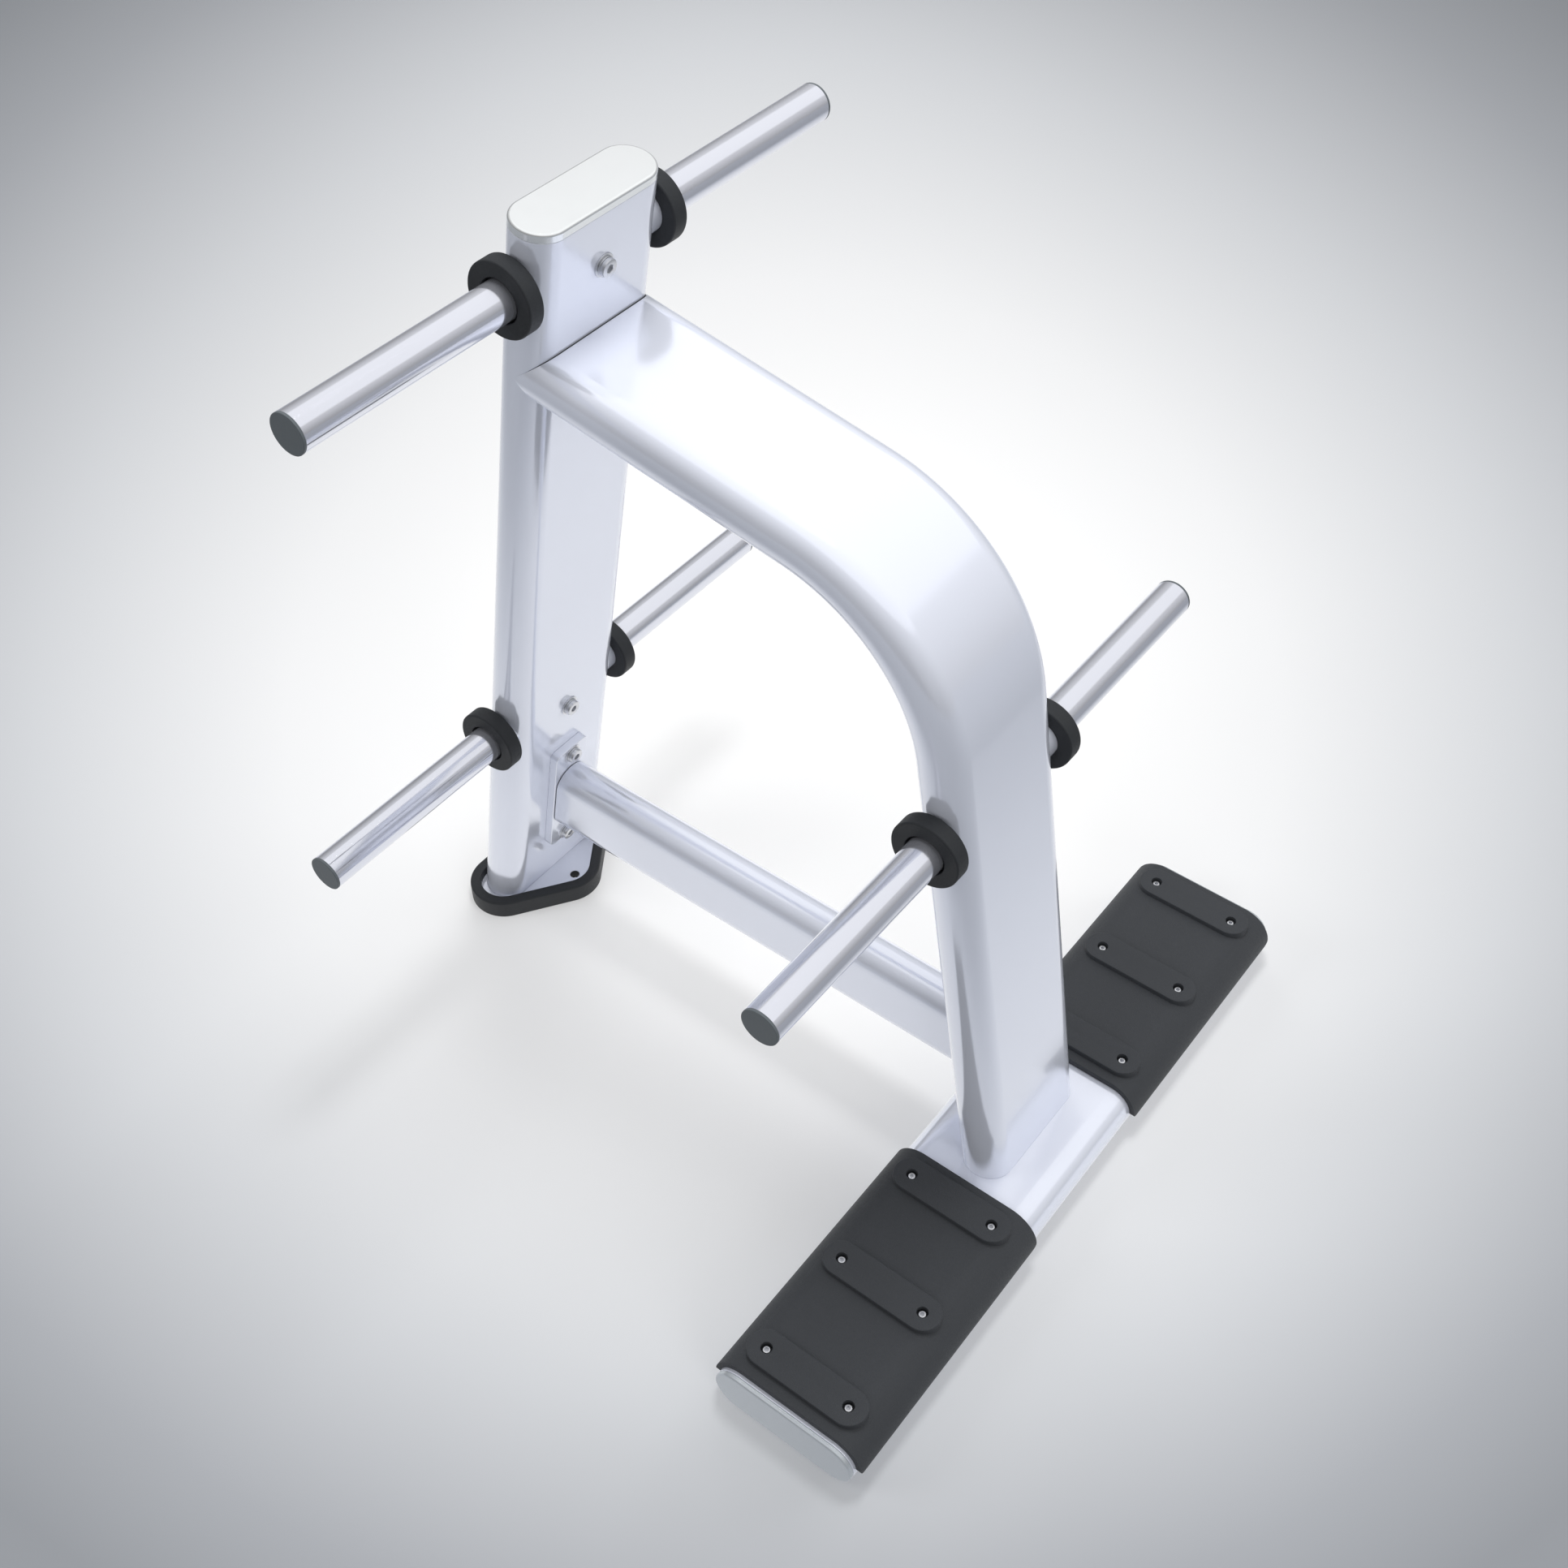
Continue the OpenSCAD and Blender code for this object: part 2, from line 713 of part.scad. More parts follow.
// Runs level from the flange to the leg, coped to the leg's rear face
module cross_tube() {
    color(STEEL) difference() {
        translate([0, upright_y, cross_z]) rotate([90, 0, 0]) linear_extrude(upright_back - half_t)
            rotate(90) tube_section(cross_h, cross_w, cross_wall);
        on_upright() translate([-tube_w, -half_t - flange_t, 0])
            cube([2 * tube_w, tube_w, upright_len]);
        on_leg() translate([0, 0, -tube_w]) linear_extrude(leg_len + tube_w)
            flat_oval(tube_w, tube_t);
    }
}

module cross_flange() {
    color(STEEL) difference() {
        on_upright() translate([0, -half_t, flange_s]) rotate([90, 0, 0])
            linear_extrude(flange_t) rounded_rect(flange_w, flange_h, flange_r);
        at_flange_bolts() bolt_hole(half_t);
        at_flange_bolts() cylinder(h = 2 * flange_t, d = bolt_hole_d);
    }
}

module flange_bolts() {
    color(ZINC) at_flange_bolts() translate([0, 0, flange_t + washers_t])
        cap_bolt(bolt_d, flange_bolt_len, head_d, head_h, head_bevel, hex_af);
}

module flange_washers() {
    color(ZINC) at_flange_bolts() translate([0, 0, flange_t])
        ring(washer_d, bolt_hole_d, washer_t);
}

module flange_lock_washers() {
    color(ZINC) at_flange_bolts() translate([0, 0, flange_t + washer_t])
        split_ring(lock_d, bolt_hole_d, lock_t);
}

module flange_nuts() {
    color(ZINC) at_flange_bolts() translate([0, 0, -tube_wall - weld_nut_h])
        ring(weld_nut_d, bolt_d + 2 * thread_fit, weld_nut_h);
}

module horn_top() {
    color(CHROME) horn_bar("top");
}

module horn_front() {
    color(CHROME) horn_bar("front");
}

module horn_low() {
    color(CHROME) horn_bar("low");
}

module socket_top() {
    color(STEEL) socket("top");
}

module socket_front() {
    color(STEEL) socket("front");
}

module socket_low() {
    color(STEEL) socket("low");
}

module horn_slug_top() {
    color(ZINC) horn_slug("top");
}

module horn_slug_front() {
    color(ZINC) horn_slug("front");
}

module horn_slug_low() {
    color(ZINC) horn_slug("low");
}

module collar_top_left() {
    color(RUBBER) collar("top", -1);
}

module collar_top_right() {
    color(RUBBER) collar("top", 1);
}

module collar_front_left() {
    color(RUBBER) collar("front", -1);
}

module collar_front_right() {
    color(RUBBER) collar("front", 1);
}

module collar_low_left() {
    color(RUBBER) collar("low", -1);
}

module collar_low_right() {
    color(RUBBER) collar("low", 1);
}

module horn_cap_top_left() {
    color(PLASTIC) horn_cap("top", -1);
}

module horn_cap_top_right() {
    color(PLASTIC) horn_cap("top", 1);
}

module horn_cap_front_left() {
    color(PLASTIC) horn_cap("front", -1);
}

module horn_cap_front_right() {
    color(PLASTIC) horn_cap("front", 1);
}

module horn_cap_low_left() {
    color(PLASTIC) horn_cap("low", -1);
}

module horn_cap_low_right() {
    color(PLASTIC) horn_cap("low", 1);
}

module horn_bolt_top() {
    color(ZINC) horn_bolt("top");
}

module horn_bolt_front() {
    color(ZINC) horn_bolt("front");
}

module horn_bolt_low() {
    color(ZINC) horn_bolt("low");
}

module horn_washer_top() {
    color(ZINC) horn_washer("top");
}

module horn_washer_front() {
    color(ZINC) horn_washer("front");
}

module horn_washer_low() {
    color(ZINC) horn_washer("low");
}

module horn_lock_washer_top() {
    color(ZINC) horn_lock_washer("top");
}

module horn_lock_washer_front() {
    color(ZINC) horn_lock_washer("front");
}

module horn_lock_washer_low() {
    color(ZINC) horn_lock_washer("low");
}

rear_upright();
upright_top_cap();
foot_plate();
foot_rubber();
front_arch();
base_beam();
base_cap_left();
base_cap_right();
base_glides();
step_pad_left();
step_pad_right();
pad_screws_left();
pad_screws_right();
pad_nuts_left();
pad_nuts_right();
cross_tube();
cross_flange();
flange_bolts();
flange_washers();
flange_lock_washers();
flange_nuts();
horn_top();
horn_front();
horn_low();
socket_top();
socket_front();
socket_low();
horn_slug_top();
horn_slug_front();
horn_slug_low();
collar_top_left();
collar_top_right();
collar_front_left();
collar_front_right();
collar_low_left();
collar_low_right();
horn_cap_top_left();
horn_cap_top_right();
horn_cap_front_left();
horn_cap_front_right();
horn_cap_low_left();
horn_cap_low_right();
horn_bolt_top();
horn_bolt_front();
horn_bolt_low();
horn_washer_top();
horn_washer_front();
horn_washer_low();
horn_lock_washer_top();
horn_lock_washer_front();
horn_lock_washer_low();
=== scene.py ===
"""Finished looks of a weight disc storage stand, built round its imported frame."""

import json
import math

import bmesh
import bpy
import numpy as np
from bpy.props import FloatProperty, FloatVectorProperty, IntProperty, PointerProperty
from mathutils import Euler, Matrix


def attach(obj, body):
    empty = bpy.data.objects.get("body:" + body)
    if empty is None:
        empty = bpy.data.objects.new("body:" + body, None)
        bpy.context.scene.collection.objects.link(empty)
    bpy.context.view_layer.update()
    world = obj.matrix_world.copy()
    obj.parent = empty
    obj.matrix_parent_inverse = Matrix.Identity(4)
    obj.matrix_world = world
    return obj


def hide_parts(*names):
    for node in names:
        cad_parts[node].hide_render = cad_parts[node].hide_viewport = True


bl_info = {
    "name": "Weight disc stand",
    "version": (1, 0, 0),
    "blender": (4, 5, 0),
    "location": "View3D > Sidebar > Stand",
    "description": "Dresses the packed frame of a weight disc stand with finished pieces",
    "category": "Add Mesh",
}

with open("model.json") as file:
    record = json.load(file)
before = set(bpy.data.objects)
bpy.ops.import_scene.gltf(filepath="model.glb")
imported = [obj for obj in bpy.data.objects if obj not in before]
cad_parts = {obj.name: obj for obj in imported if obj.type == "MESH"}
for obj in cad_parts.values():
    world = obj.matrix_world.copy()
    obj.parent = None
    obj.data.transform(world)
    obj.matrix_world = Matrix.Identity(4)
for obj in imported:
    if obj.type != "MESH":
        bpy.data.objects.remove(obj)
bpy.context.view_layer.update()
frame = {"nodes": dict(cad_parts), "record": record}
LEVELS = ("top", "front", "low")
SIDES = {"left": -1.0, "right": 1.0}

# Clearance between finished pieces
CLEAR = 0.0001
# Clearance round a horn and round its socket
FIT = 0.0002
# Edges of small parts, of plates and sleeves, and of outer rims
FINE_EDGE, PLATE_EDGE, OUTER_EDGE = 0.0003, 0.0004, 0.0012
# Edge and width of the dark strips in the joints, which are painted shade of the gaps
SHADE_STRIP_EDGE, SHADE_STRIP_WIDTH = 0.0002, 0.002
# Steps of a cap's rounded edge
CAP_STEPS = 8
# Edges of a collar's hole, inside and outside
COLLAR_ROOT_EDGE, COLLAR_FACE_EDGE = 0.0008, 0.0012
# Thickness of the step pads' sides
PAD_SIDE = 0.0065
# The shoe's skirt, its lap under the plate's face, and its inner edge
SHOE_SKIRT, SHOE_LAP, SHOE_INNER_EDGE = 0.006, 0.001, 0.0015
# Wall of the anchor hole's dark lining, which is painted shade in the hole, height of its foot, and
# drop of its top
SHADE_LINING_WALL, SHADE_LINING_FOOT, SHADE_LINING_DROP = 0.0005, 0.001, 0.0008
# Length of a bolt's shank, bevel of its head, and play in a washer's hole
BOLT_LENGTH, BOLT_BEVEL, WASHER_FIT = 0.02, 0.001, 0.001
# Opening of a spring washer
LOCK_SLIT = 0.0012
# Shank of a pad screw, its length and the bevel of its head
SCREW_SHANK, SCREW_LENGTH, SCREW_BEVEL = 0.005, 0.018, 0.0005
# Angle over which an edge is sharp
SHARP = math.radians(32)
# Distance under which points are one, and angle under which faces are flat
MERGE, FLAT = 1e-6, math.radians(0.5)
# Height of the finest relief of a finish
RELIEF = 0.0004

# Lamps: place, diameter and power. All of them point at LAMP_AIM
LAMPS = {
    "key": ((0.47, 0.1, 2.9), 0.8, 38),
    "front_left": ((-1.6, -2.8, 1.2), 1.6, 26),
    "front_right": ((2.6, -2.0, 1.0), 1.6, 22),
    "rear_left": ((-2.2, 2.2, 2.0), 1.6, 34),
    "rear_right": ((2.4, 2.2, 1.6), 1.6, 20),
}
LAMP_AIM = (0.0, 0.0, 0.4)
# The sky's greys along the way in which it brightens
SKY_WAY = (0.25, -0.15, 1.0)
SKY = ((0.0, 0.2), (0.3, 0.36), (0.5, 0.5), (0.725, 0.66), (0.755, 1.0))
# Strength of the sky as a light, and where it is seen or mirrored
SKY_LIGHT, SKY_SEEN = 0.74, 0.96
# What lies behind the floor
BACKDROP = (0.72, 0.73, 0.75)
# Share of the floor's painted glow, as the floor is no lamp, where it is seen and where it is
# mirrored
GLOW_SEEN, GLOW_MIRRORED = 0.32, 1.0
# Share of light that the floor throws back, and what is added where it is seen: a painted
# brightening for the camera and in reflections
BOUNCE, BOUNCE_SEEN = 0.95, 0.05
# The floor's painted pool of light, bright round the stand and falling off to grey: weights across
# and along, shift of its middle, and limit
FALL_ACROSS, FALL_ALONG, FALL_SHIFT, FALL_LIMIT = 0.62, 0.74, 0.06, 1.6
# Span of its shades, and the shades by their distance from the middle
FALL_SPAN = 1.2
FLOOR_POOL_SHADES = (
    (0.0, (1.0, 1.0, 1.0)), (0.3, (0.985, 0.985, 0.985)), (0.5, (0.88, 0.885, 0.895)),
    (0.75, (0.66, 0.675, 0.70)), (1.0, (0.42, 0.435, 0.465)), (1.15, (0.32, 0.335, 0.36)),
)
FLOOR_HALF = 14.0
CAMERA = (-1.18892, -0.91892, 1.98656)
CAMERA_TURN = (43.69518, -0.08979, -52.47349)
LENS, SENSOR, CAMERA_REACH = 44.189, 36.0, 60.0

# Each finish: metallic, roughness from and to, scale of its unevenness, strength and scale of
# its relief, and what is the same all over
COATS = {
    "paint": (0.42, (0.14, 0.17), 60, 0.02, 700, {"Coat Weight": 0.5, "Coat Roughness": 0.04}),
    "cap_paint": (0.85, (0.16, 0.20), 60, 0.04, 700, {"Coat Weight": 0.3, "Coat Roughness": 0.08}),
    # The end caps' coat is the top cap's paint darkened: painted shade of their low, side-facing
    # faces
    "end_cap": (0.5, (0.20, 0.26), 60, 0.04, 700, {"Coat Weight": 0.3, "Coat Roughness": 0.08}),
    "chrome": (0.85, (0.12, 0.15), 90, 0.0, 300, {}),
    "zinc": (1.0, (0.26, 0.38), 900, 0.10, 1500, {}),
    "rubber": (0.0, (0.50, 0.62), 500, 0.35, 1400, {"Specular IOR Level": 0.3}),
    "pad_rubber": (0.0, (0.52, 0.66), 500, 0.45, 1200, {"Specular IOR Level": 0.3}),
    "plastic": (0.0, (0.42, 0.52), 700, 0.20, 1600, {"Specular IOR Level": 0.35}),
}


# Sizes and colours that a user would change


def length(name, description, default):
    return FloatProperty(
        name=name, description=description, default=default, min=0.0, unit="LENGTH"
    )


def colour(name, description, default):
    return FloatVectorProperty(
        name=name, description=description, default=default,
        size=3, subtype="COLOR", min=0.0, max=1.0,
    )


class StandTubeSizes(bpy.types.PropertyGroup):
    """Sizes of the frame's flat-oval tubes."""

    width: length("Width", "Width of the flat-oval tube, along X", 0.182)
    thickness: length("Thickness", "Thickness of the flat-oval tube", 0.060)
    lean: FloatProperty(
        name="Lean", description="Lean of the upright and of the arch's leg",
        default=math.radians(9.9), unit="ROTATION",
    )
    upright_length: length("Upright length", "From floor level to the top cap's face", 1.089)
    upright_back: length("Upright distance", "From the leg's foot point to the upright", 0.7725)
    arch_drop: length("Arch drop", "From the top cap's face down to the arch", 0.1446)
    bend_radius: length("Bend radius", "Radius of the arch's bend, on its centre line", 0.222)
    cut_edge: length("Cut edge", "Softening of a tube's cut end", 0.0006)
    joint_gap: length("Joint gap", "Dark line between the arch and the upright", 0.0015)
    # Depth of the joint's dark strip, which is painted shade
    shade_strip_depth: length("Joint depth", "How deep that dark line lies under the surface", 0.0008)
    cross_height: length("Cross tube height", "Height of the low cross tube", 0.1066)
    cross_width: length("Cross tube width", "Width of the low cross tube", 0.0525)
    cross_level: length("Cross tube level", "Height of the cross tube's axis", 0.1825)
    flange_width: length("Flange width", "Width of the bolted flange", 0.057)
    flange_height: length("Flange height", "Height of the bolted flange", 0.188)
    flange_thickness: length("Flange thickness", "Thickness of the bolted flange", 0.011)
    flange_corner: length("Flange corner", "Corner radius of the flange", 0.008)
    flange_pitch: length("Flange bolt pitch", "Distance between the flange's bolts", 0.163)
    top_cap: length("Top cap", "Thickness of the upright's cap", 0.010)
    top_cap_edge: length("Top cap edge", "Radius of the top cap's edge", 0.003)


class StandBaseSizes(bpy.types.PropertyGroup):
    """Sizes of the base beam, its caps and the foot's shoe."""

    length: length("Length", "Length of the base beam over both caps", 0.920)
    shift: length("Shift", "Distance of the beam in front of the leg's foot point", 0.0015)
    glide: length("Glide height", "Height of the glides under the beam", 0.004)
    cap: length("End cap", "Thickness of the beam's end caps", 0.006)
    cap_edge: length("End cap edge", "Radius of the end caps' edge", 0.0025)
    lobe_half: length("Lobe half distance", "Half distance between the rear lobes", 0.069)
    lobe_depth: length("Lobe depth", "From the rear lobes to the front lobe", 0.047)
    lobe_shift: length("Lobe shift", "Rear lobes in front of the upright's axis", 0.0015)
    shoe_radius: length("Shoe radius", "Outer radius of the shoe's lobes", 0.0465)
    shoe_wall: length("Shoe wall", "Wall of the shoe", 0.014)
    shoe_height: length("Shoe height", "Height of the shoe's rim", 0.0267)
    shoe_edge: length("Shoe edge", "Radius of the rim's outer edge", 0.003)
    plate_top: length("Plate top", "Height of the foot plate's upper face", 0.0147)
    anchor_hole: length("Anchor hole", "Diameter of the hole in the foot plate", 0.013)
    anchor_shift: length("Anchor hole shift", "From the front lobe's centre to the hole", 0.0155)


class StandHornSizes(bpy.types.PropertyGroup):
    """Sizes of the chrome horns with their collars and caps."""

    diameter: length("Diameter", "Diameter of a horn", 0.0424)
    reach: length("Reach", "From the symmetry plane to a horn's tip", 0.3754)
    top_drop: length("Top horn drop", "From the top cap's face down to the top horn", 0.070)
    low_height: length("Low horn height", "Height of the low horn along the upright", 0.358)
    front_height: length("Front horn height", "Height of the front horn along the leg", 0.520962)
    socket_diameter: length("Socket diameter", "Diameter of the socket round a horn", 0.0464)
    socket_end: length("Socket end", "From the symmetry plane to the socket's end", 0.104)
    collar_diameter: length("Collar diameter", "Diameter of a rubber collar", 0.0806)
    collar_width: length("Collar width", "Width of a rubber collar", 0.0195)
    collar_gap: length("Collar gap", "From the frame tube to a collar", 0.0031)
    collar_edge: length("Collar edge", "Radius of a collar's edges", 0.002)
    # The lip is dark rubber over the socket's end, painted shade in the gap round the horn
    collar_shade_lip: length("Collar lip", "Thickness of the lip that covers the socket's end", 0.0012)
    cap: length("Cap", "Thickness of the disc that closes a horn", 0.003)
    cap_bevel: length("Cap bevel", "Bevel of that disc", 0.0008)


class StandBoltSizes(bpy.types.PropertyGroup):
    """Sizes of the bolts, washers and pad screws."""

    head: length("Head", "Diameter of a bolt's head", 0.020)
    head_height: length("Head height", "Height of a bolt's head", 0.005)
    socket: length("Hexagon", "Hexagon socket across flats", 0.008)
    washer: length("Washer", "Diameter of a flat washer", 0.026)
    washer_height: length("Washer height", "Thickness of a flat washer", 0.0016)
    lock: length("Spring washer", "Diameter of a spring washer", 0.0215)
    lock_height: length("Spring washer height", "Thickness of a spring washer", 0.002)
    shank: length("Shank", "Diameter of a bolt's shank", 0.012)
    screw_head: length("Screw head", "Diameter of a pad screw's head", 0.0085)
    screw_head_height: length("Screw head height", "Height of a pad screw's head", 0.005)
    screw_socket: length("Screw hexagon", "Hexagon socket of a pad screw", 0.004)
    screw_seat: length("Screw seat", "Height of a pad screw's seat over the floor", 0.0709)
    screw_pitch: length("Screw pitch", "Distance between a rib's screws", 0.1088)
    rib_pitch: length("Rib pitch", "Distance between neighbouring ribs", 0.136)
    rib_middle: length("Middle rib", "From the symmetry plane to a pad's middle rib", 0.2795)


class StandFinish(bpy.types.PropertyGroup):
    """Colours of the stand's finishes and of the stage."""

    paint: colour("Paint", "Silver-white coat of the frame", (0.80, 0.83, 0.93))
    cap_paint: colour("Top cap", "Silver-white coat of the top cap", (0.90, 0.92, 0.93))
    # The top cap's paint darkened, painted shade of the end caps' low, side-facing faces
    end_cap: colour("End caps", "Silver-grey coat of the base beam's end caps", (0.50, 0.535, 0.57))
    chrome: colour("Chrome", "Bright plate of the horns", (0.78, 0.795, 0.87))
    zinc: colour("Zinc", "Plate of the bolts and washers", (0.70, 0.71, 0.74))
    rubber: colour("Rubber", "Moulded rubber of the collars and the shoe", (0.024, 0.026, 0.029))
    pad: colour("Pad rubber", "Moulded rubber of the step pads", (0.040, 0.043, 0.048))
    plastic: colour("Plastic", "Moulded plastic of the horn caps", (0.105, 0.12, 0.13))
    floor: colour("Floor", "Pale floor", (0.86, 0.86, 0.86))


class StandSettings(bpy.types.PropertyGroup):
    """All settings of the stand."""

    tube: PointerProperty(type=StandTubeSizes)
    base: PointerProperty(type=StandBaseSizes)
    horn: PointerProperty(type=StandHornSizes)
    bolt: PointerProperty(type=StandBoltSizes)
    finish: PointerProperty(type=StandFinish)
    round_steps: IntProperty(
        name="Round steps", description="Steps of a half circle", default=28, min=8
    )


# Shapes


def unit(v):
    v = np.asarray(v, float)
    return v / np.linalg.norm(v)


class Place:
    """A spot on the stand with three directions of its own: a and b across, d along or out."""

    def __init__(self, origin, a, b, d):
        self.origin = np.asarray(origin, float)
        self.axes = np.array([unit(a), unit(b), unit(d)])

    def points(self, abd):
        return self.origin + np.asarray(abd, float) @ self.axes

    def turned(self, abd):
        return np.asarray(abd, float) @ self.axes


def plumb(x=0.0, y=0.0, z=0.0):
    """A spot whose d points straight up."""
    return Place((x, y, z), (1, 0, 0), (0, 1, 0), (0, 0, 1))


class StandPlaces:
    """Where the stand's parts lie, worked out from the sizes as the frame's own source does."""

    def __init__(self, settings):
        t, b, h = settings.tube, settings.base, settings.horn
        sin, cos = math.sin(t.lean), math.cos(t.lean)
        half = t.thickness / 2
        self.half = half
        self.base_top = b.glide + t.thickness
        foot_back = t.upright_back - b.plate_top * math.tan(t.lean) - b.lobe_shift
        front = -b.shift - t.width / 2 - PAD_SIDE
        self.leg_y = -(front + foot_back + b.shoe_radius) / 2
        self.foot_y = self.leg_y + foot_back
        self.upright_y = self.leg_y + t.upright_back
        self.base_y = self.leg_y - b.shift
        self.base_z = b.glide + half
        x = (1.0, 0.0, 0.0)
        self.upright = Place((0, self.upright_y, 0), x, (0, -cos, -sin), (0, -sin, cos))
        self.leg = Place((0, self.leg_y, self.base_top), x, (0, cos, -sin), (0, sin, cos))
        run_start = self.upright.points([0, 0, t.upright_length - t.arch_drop - half])
        self.run = Place(run_start, x, (0, -sin, cos), (0, -cos, -sin))
        self.turn = math.pi / 2 - 2 * t.lean
        tangent = t.bend_radius * math.tan(self.turn / 2)
        gap = self.leg.origin[1:] - run_start[1:]
        u, v = self.run.axes[2][1:], self.leg.axes[2][1:]
        cross = u[0] * v[1] - u[1] * v[0]
        self.run_length = (gap[0] * v[1] - gap[1] * v[0]) / cross - tangent
        self.bend_centre = self.run.points([0, -t.bend_radius, self.run_length])
        self.flange_s = (t.cross_level + half * sin) / cos
        self.horn_at = {
            "top": (self.upright, t.upright_length - h.top_drop),
            "low": (self.upright, h.low_height),
            "front": (self.leg, h.front_height),
        }

    def horn(self, level, side):
        """On a horn's axis in the symmetry plane, with d along X to that side."""
        place, s = self.horn_at[level]
        return Place(place.points([0, 0, s]), place.axes[1], place.axes[2], (side, 0, 0))

    def horn_bolt(self, level):
        """On the face that carries a horn's bolt, with d out of it."""
        place, s = self.horn_at[level]
        return Place(place.points([0, self.half, s]), (1, 0, 0), place.axes[2], place.axes[1])

    def flange_bolt(self, shift, out):
        """On the axis of one of the flange's bolts, with d out of the upright's front."""
        up = self.upright
        at = up.points([0, self.half + out, self.flange_s + shift])
        return Place(at, (1, 0, 0), up.axes[2], up.axes[1])


def flat_oval(width, thickness, steps):
    """Outline of a flat oval and its outward normals."""
    r = thickness / 2
    reach = width / 2 - r
    a = np.linspace(-math.pi / 2, math.pi / 2, steps + 1)
    right = np.stack([np.cos(a), np.sin(a)], 1)
    normals = np.vstack([right, -right])
    middles = np.repeat([(reach, 0.0), (-reach, 0.0)], steps + 1, axis=0)
    return middles + r * normals, normals


def softened(corners, radii, steps=6):
    """A closed anticlockwise outline with rounded corners, and its outward normals."""
    corners = [np.asarray(c, float) for c in corners]
    points, normals = [], []
    for i, (corner, r) in enumerate(zip(corners, radii)):
        before = unit(corner - corners[i - 1])
        after = unit(corners[(i + 1) % len(corners)] - corner)
        n0, n1 = np.array([before[1], -before[0]]), np.array([after[1], -after[0]])
        bend = before[0] * after[1] - before[1] * after[0]
        side = 1.0 if bend > 0 else -1.0
        half = math.acos(max(-1.0, min(1.0, float(n0 @ n1)))) / 2
        middle = corner - side * unit(n0 + n1) * r / math.cos(half)
        for k in range(steps + 1):
            angle = 2 * half * k / steps * side
            n = np.array([
                n0[0] * math.cos(angle) - n0[1] * math.sin(angle),
                n0[0] * math.sin(angle) + n0[1] * math.cos(angle),
            ])
            points.append(middle + side * r * n)
            normals.append(n)
    return np.array(points), np.array(normals)


def skin(name, rings, normals=None, looped=False):
    """One closed mesh through rings of points, shaded by the rings' normals where given."""
    count, k = len(rings), len(rings[0])
    vertices = np.concatenate(rings)
    shading = None if normals is None else np.concatenate(normals)
    faces = []
    for i in range(count if looped else count - 1):
        a, b = i * k, (i + 1) % count * k
        faces += [(a + j, a + (j + 1) % k, b + (j + 1) % k, b + j) for j in range(k)]
    if not looped:
        faces += [tuple(range(k))[::-1], tuple((count - 1) * k + j for j in range(k))]
    return piece(name, vertices, faces, shading)


def placed(name, data):
    """A new object in the scene."""
    made = bpy.data.objects.new(name, data)
    bpy.context.scene.collection.objects.link(made)
    return made


def piece(name, vertices, faces, shading=None):
    """A new object at the origin from plain vertices and faces, turned outwards."""
    mesh = bpy.data.meshes.new(name)
    mesh.from_pydata([tuple(map(float, v)) for v in vertices], [], faces)
    bm = bmesh.new()
    bm.from_mesh(mesh)
    if bm.calc_volume(signed=True) < 0:
        bmesh.ops.reverse_faces(bm, faces=bm.faces)
    for f in bm.faces:
        f.smooth = True
    if shading is None:
        for e in bm.edges:
            e.smooth = e.calc_face_angle(0.0) < SHARP
    bm.to_mesh(mesh)
    bm.free()
    if shading is not None:
        mesh.normals_split_custom_set_from_vertices([tuple(map(float, n)) for n in shading])
    return placed(name, mesh)


def end_rings(place, outline, cut, edge, way, steps=4):
    """Rings that soften one end of a bar, cut at a distance along d. way is -1 or 1."""
    points, normals = outline
    rings, shading = [], []
    for k in range(steps + 1):
        angle = math.pi / 2 * (1 - k / steps)
        inset = edge * (1 - math.cos(angle))
        along = np.full(len(points), cut - way * edge * (1 - math.sin(angle)))
        p = points - normals * inset
        rings.append(place.points(np.column_stack([p, along])))
        n = np.column_stack([normals * math.cos(angle), np.full(len(p), way * math.sin(angle))])
        shading.append(place.turned(n))
    return (rings, shading) if way < 0 else (rings[::-1], shading[::-1])


def bar(name, *stretches):
    """One closed body through the rings of its ends and of any stretch between them."""
    rings, shading = [], []
    for more, their in stretches:
        rings += more
        shading += their
    return skin(name, rings, shading)


def straight(name, place, outline, start, stop, edge, far_edge=None, steps=4):
    """A bar cut at two distances along d, with both its ends softened."""
    far = end_rings(place, outline, stop, far_edge or edge, 1, steps)
    return bar(name, end_rings(place, outline, start, edge, -1), far)


def level_cut(place, outline, height):
    """Distance along d at which each line of a bar meets a level plane."""
    points = outline[0]
    flat = place.points(np.column_stack([points, np.zeros(len(points))]))
    return (height - flat[:, 2]) / place.axes[2][2]


def turned_piece(name, place, profile, looped=False, steps=72):
    """A body of revolution about d from a profile of radii and distances with its normals."""
    (points, normals), rings, shading = profile, [], []
    a = np.linspace(0, 2 * math.pi, steps, endpoint=False)
    c, s = np.cos(a), np.sin(a)
    for (r, d), (nr, nd) in zip(points, normals):
        rings.append(place.points(np.stack([r * c, r * s, np.full(steps, d)], 1)))
        shading.append(place.turned(np.stack([nr * c, nr * s, np.full(steps, nd)], 1)))
    return skin(name, rings, shading, looped)


def disc_profile(radius, low, high, low_edge, high_edge, steps=5):
    """Profile of a solid disc from one softened face to the other, closed by flat faces."""
    points, normals = softened(
        [(0, low), (radius, low), (radius, high), (0, high)], (0, low_edge, high_edge, 0), steps
    )
    keep = [i for i in range(len(points)) if points[i][0] > 1e-6]
    return points[keep], normals[keep]


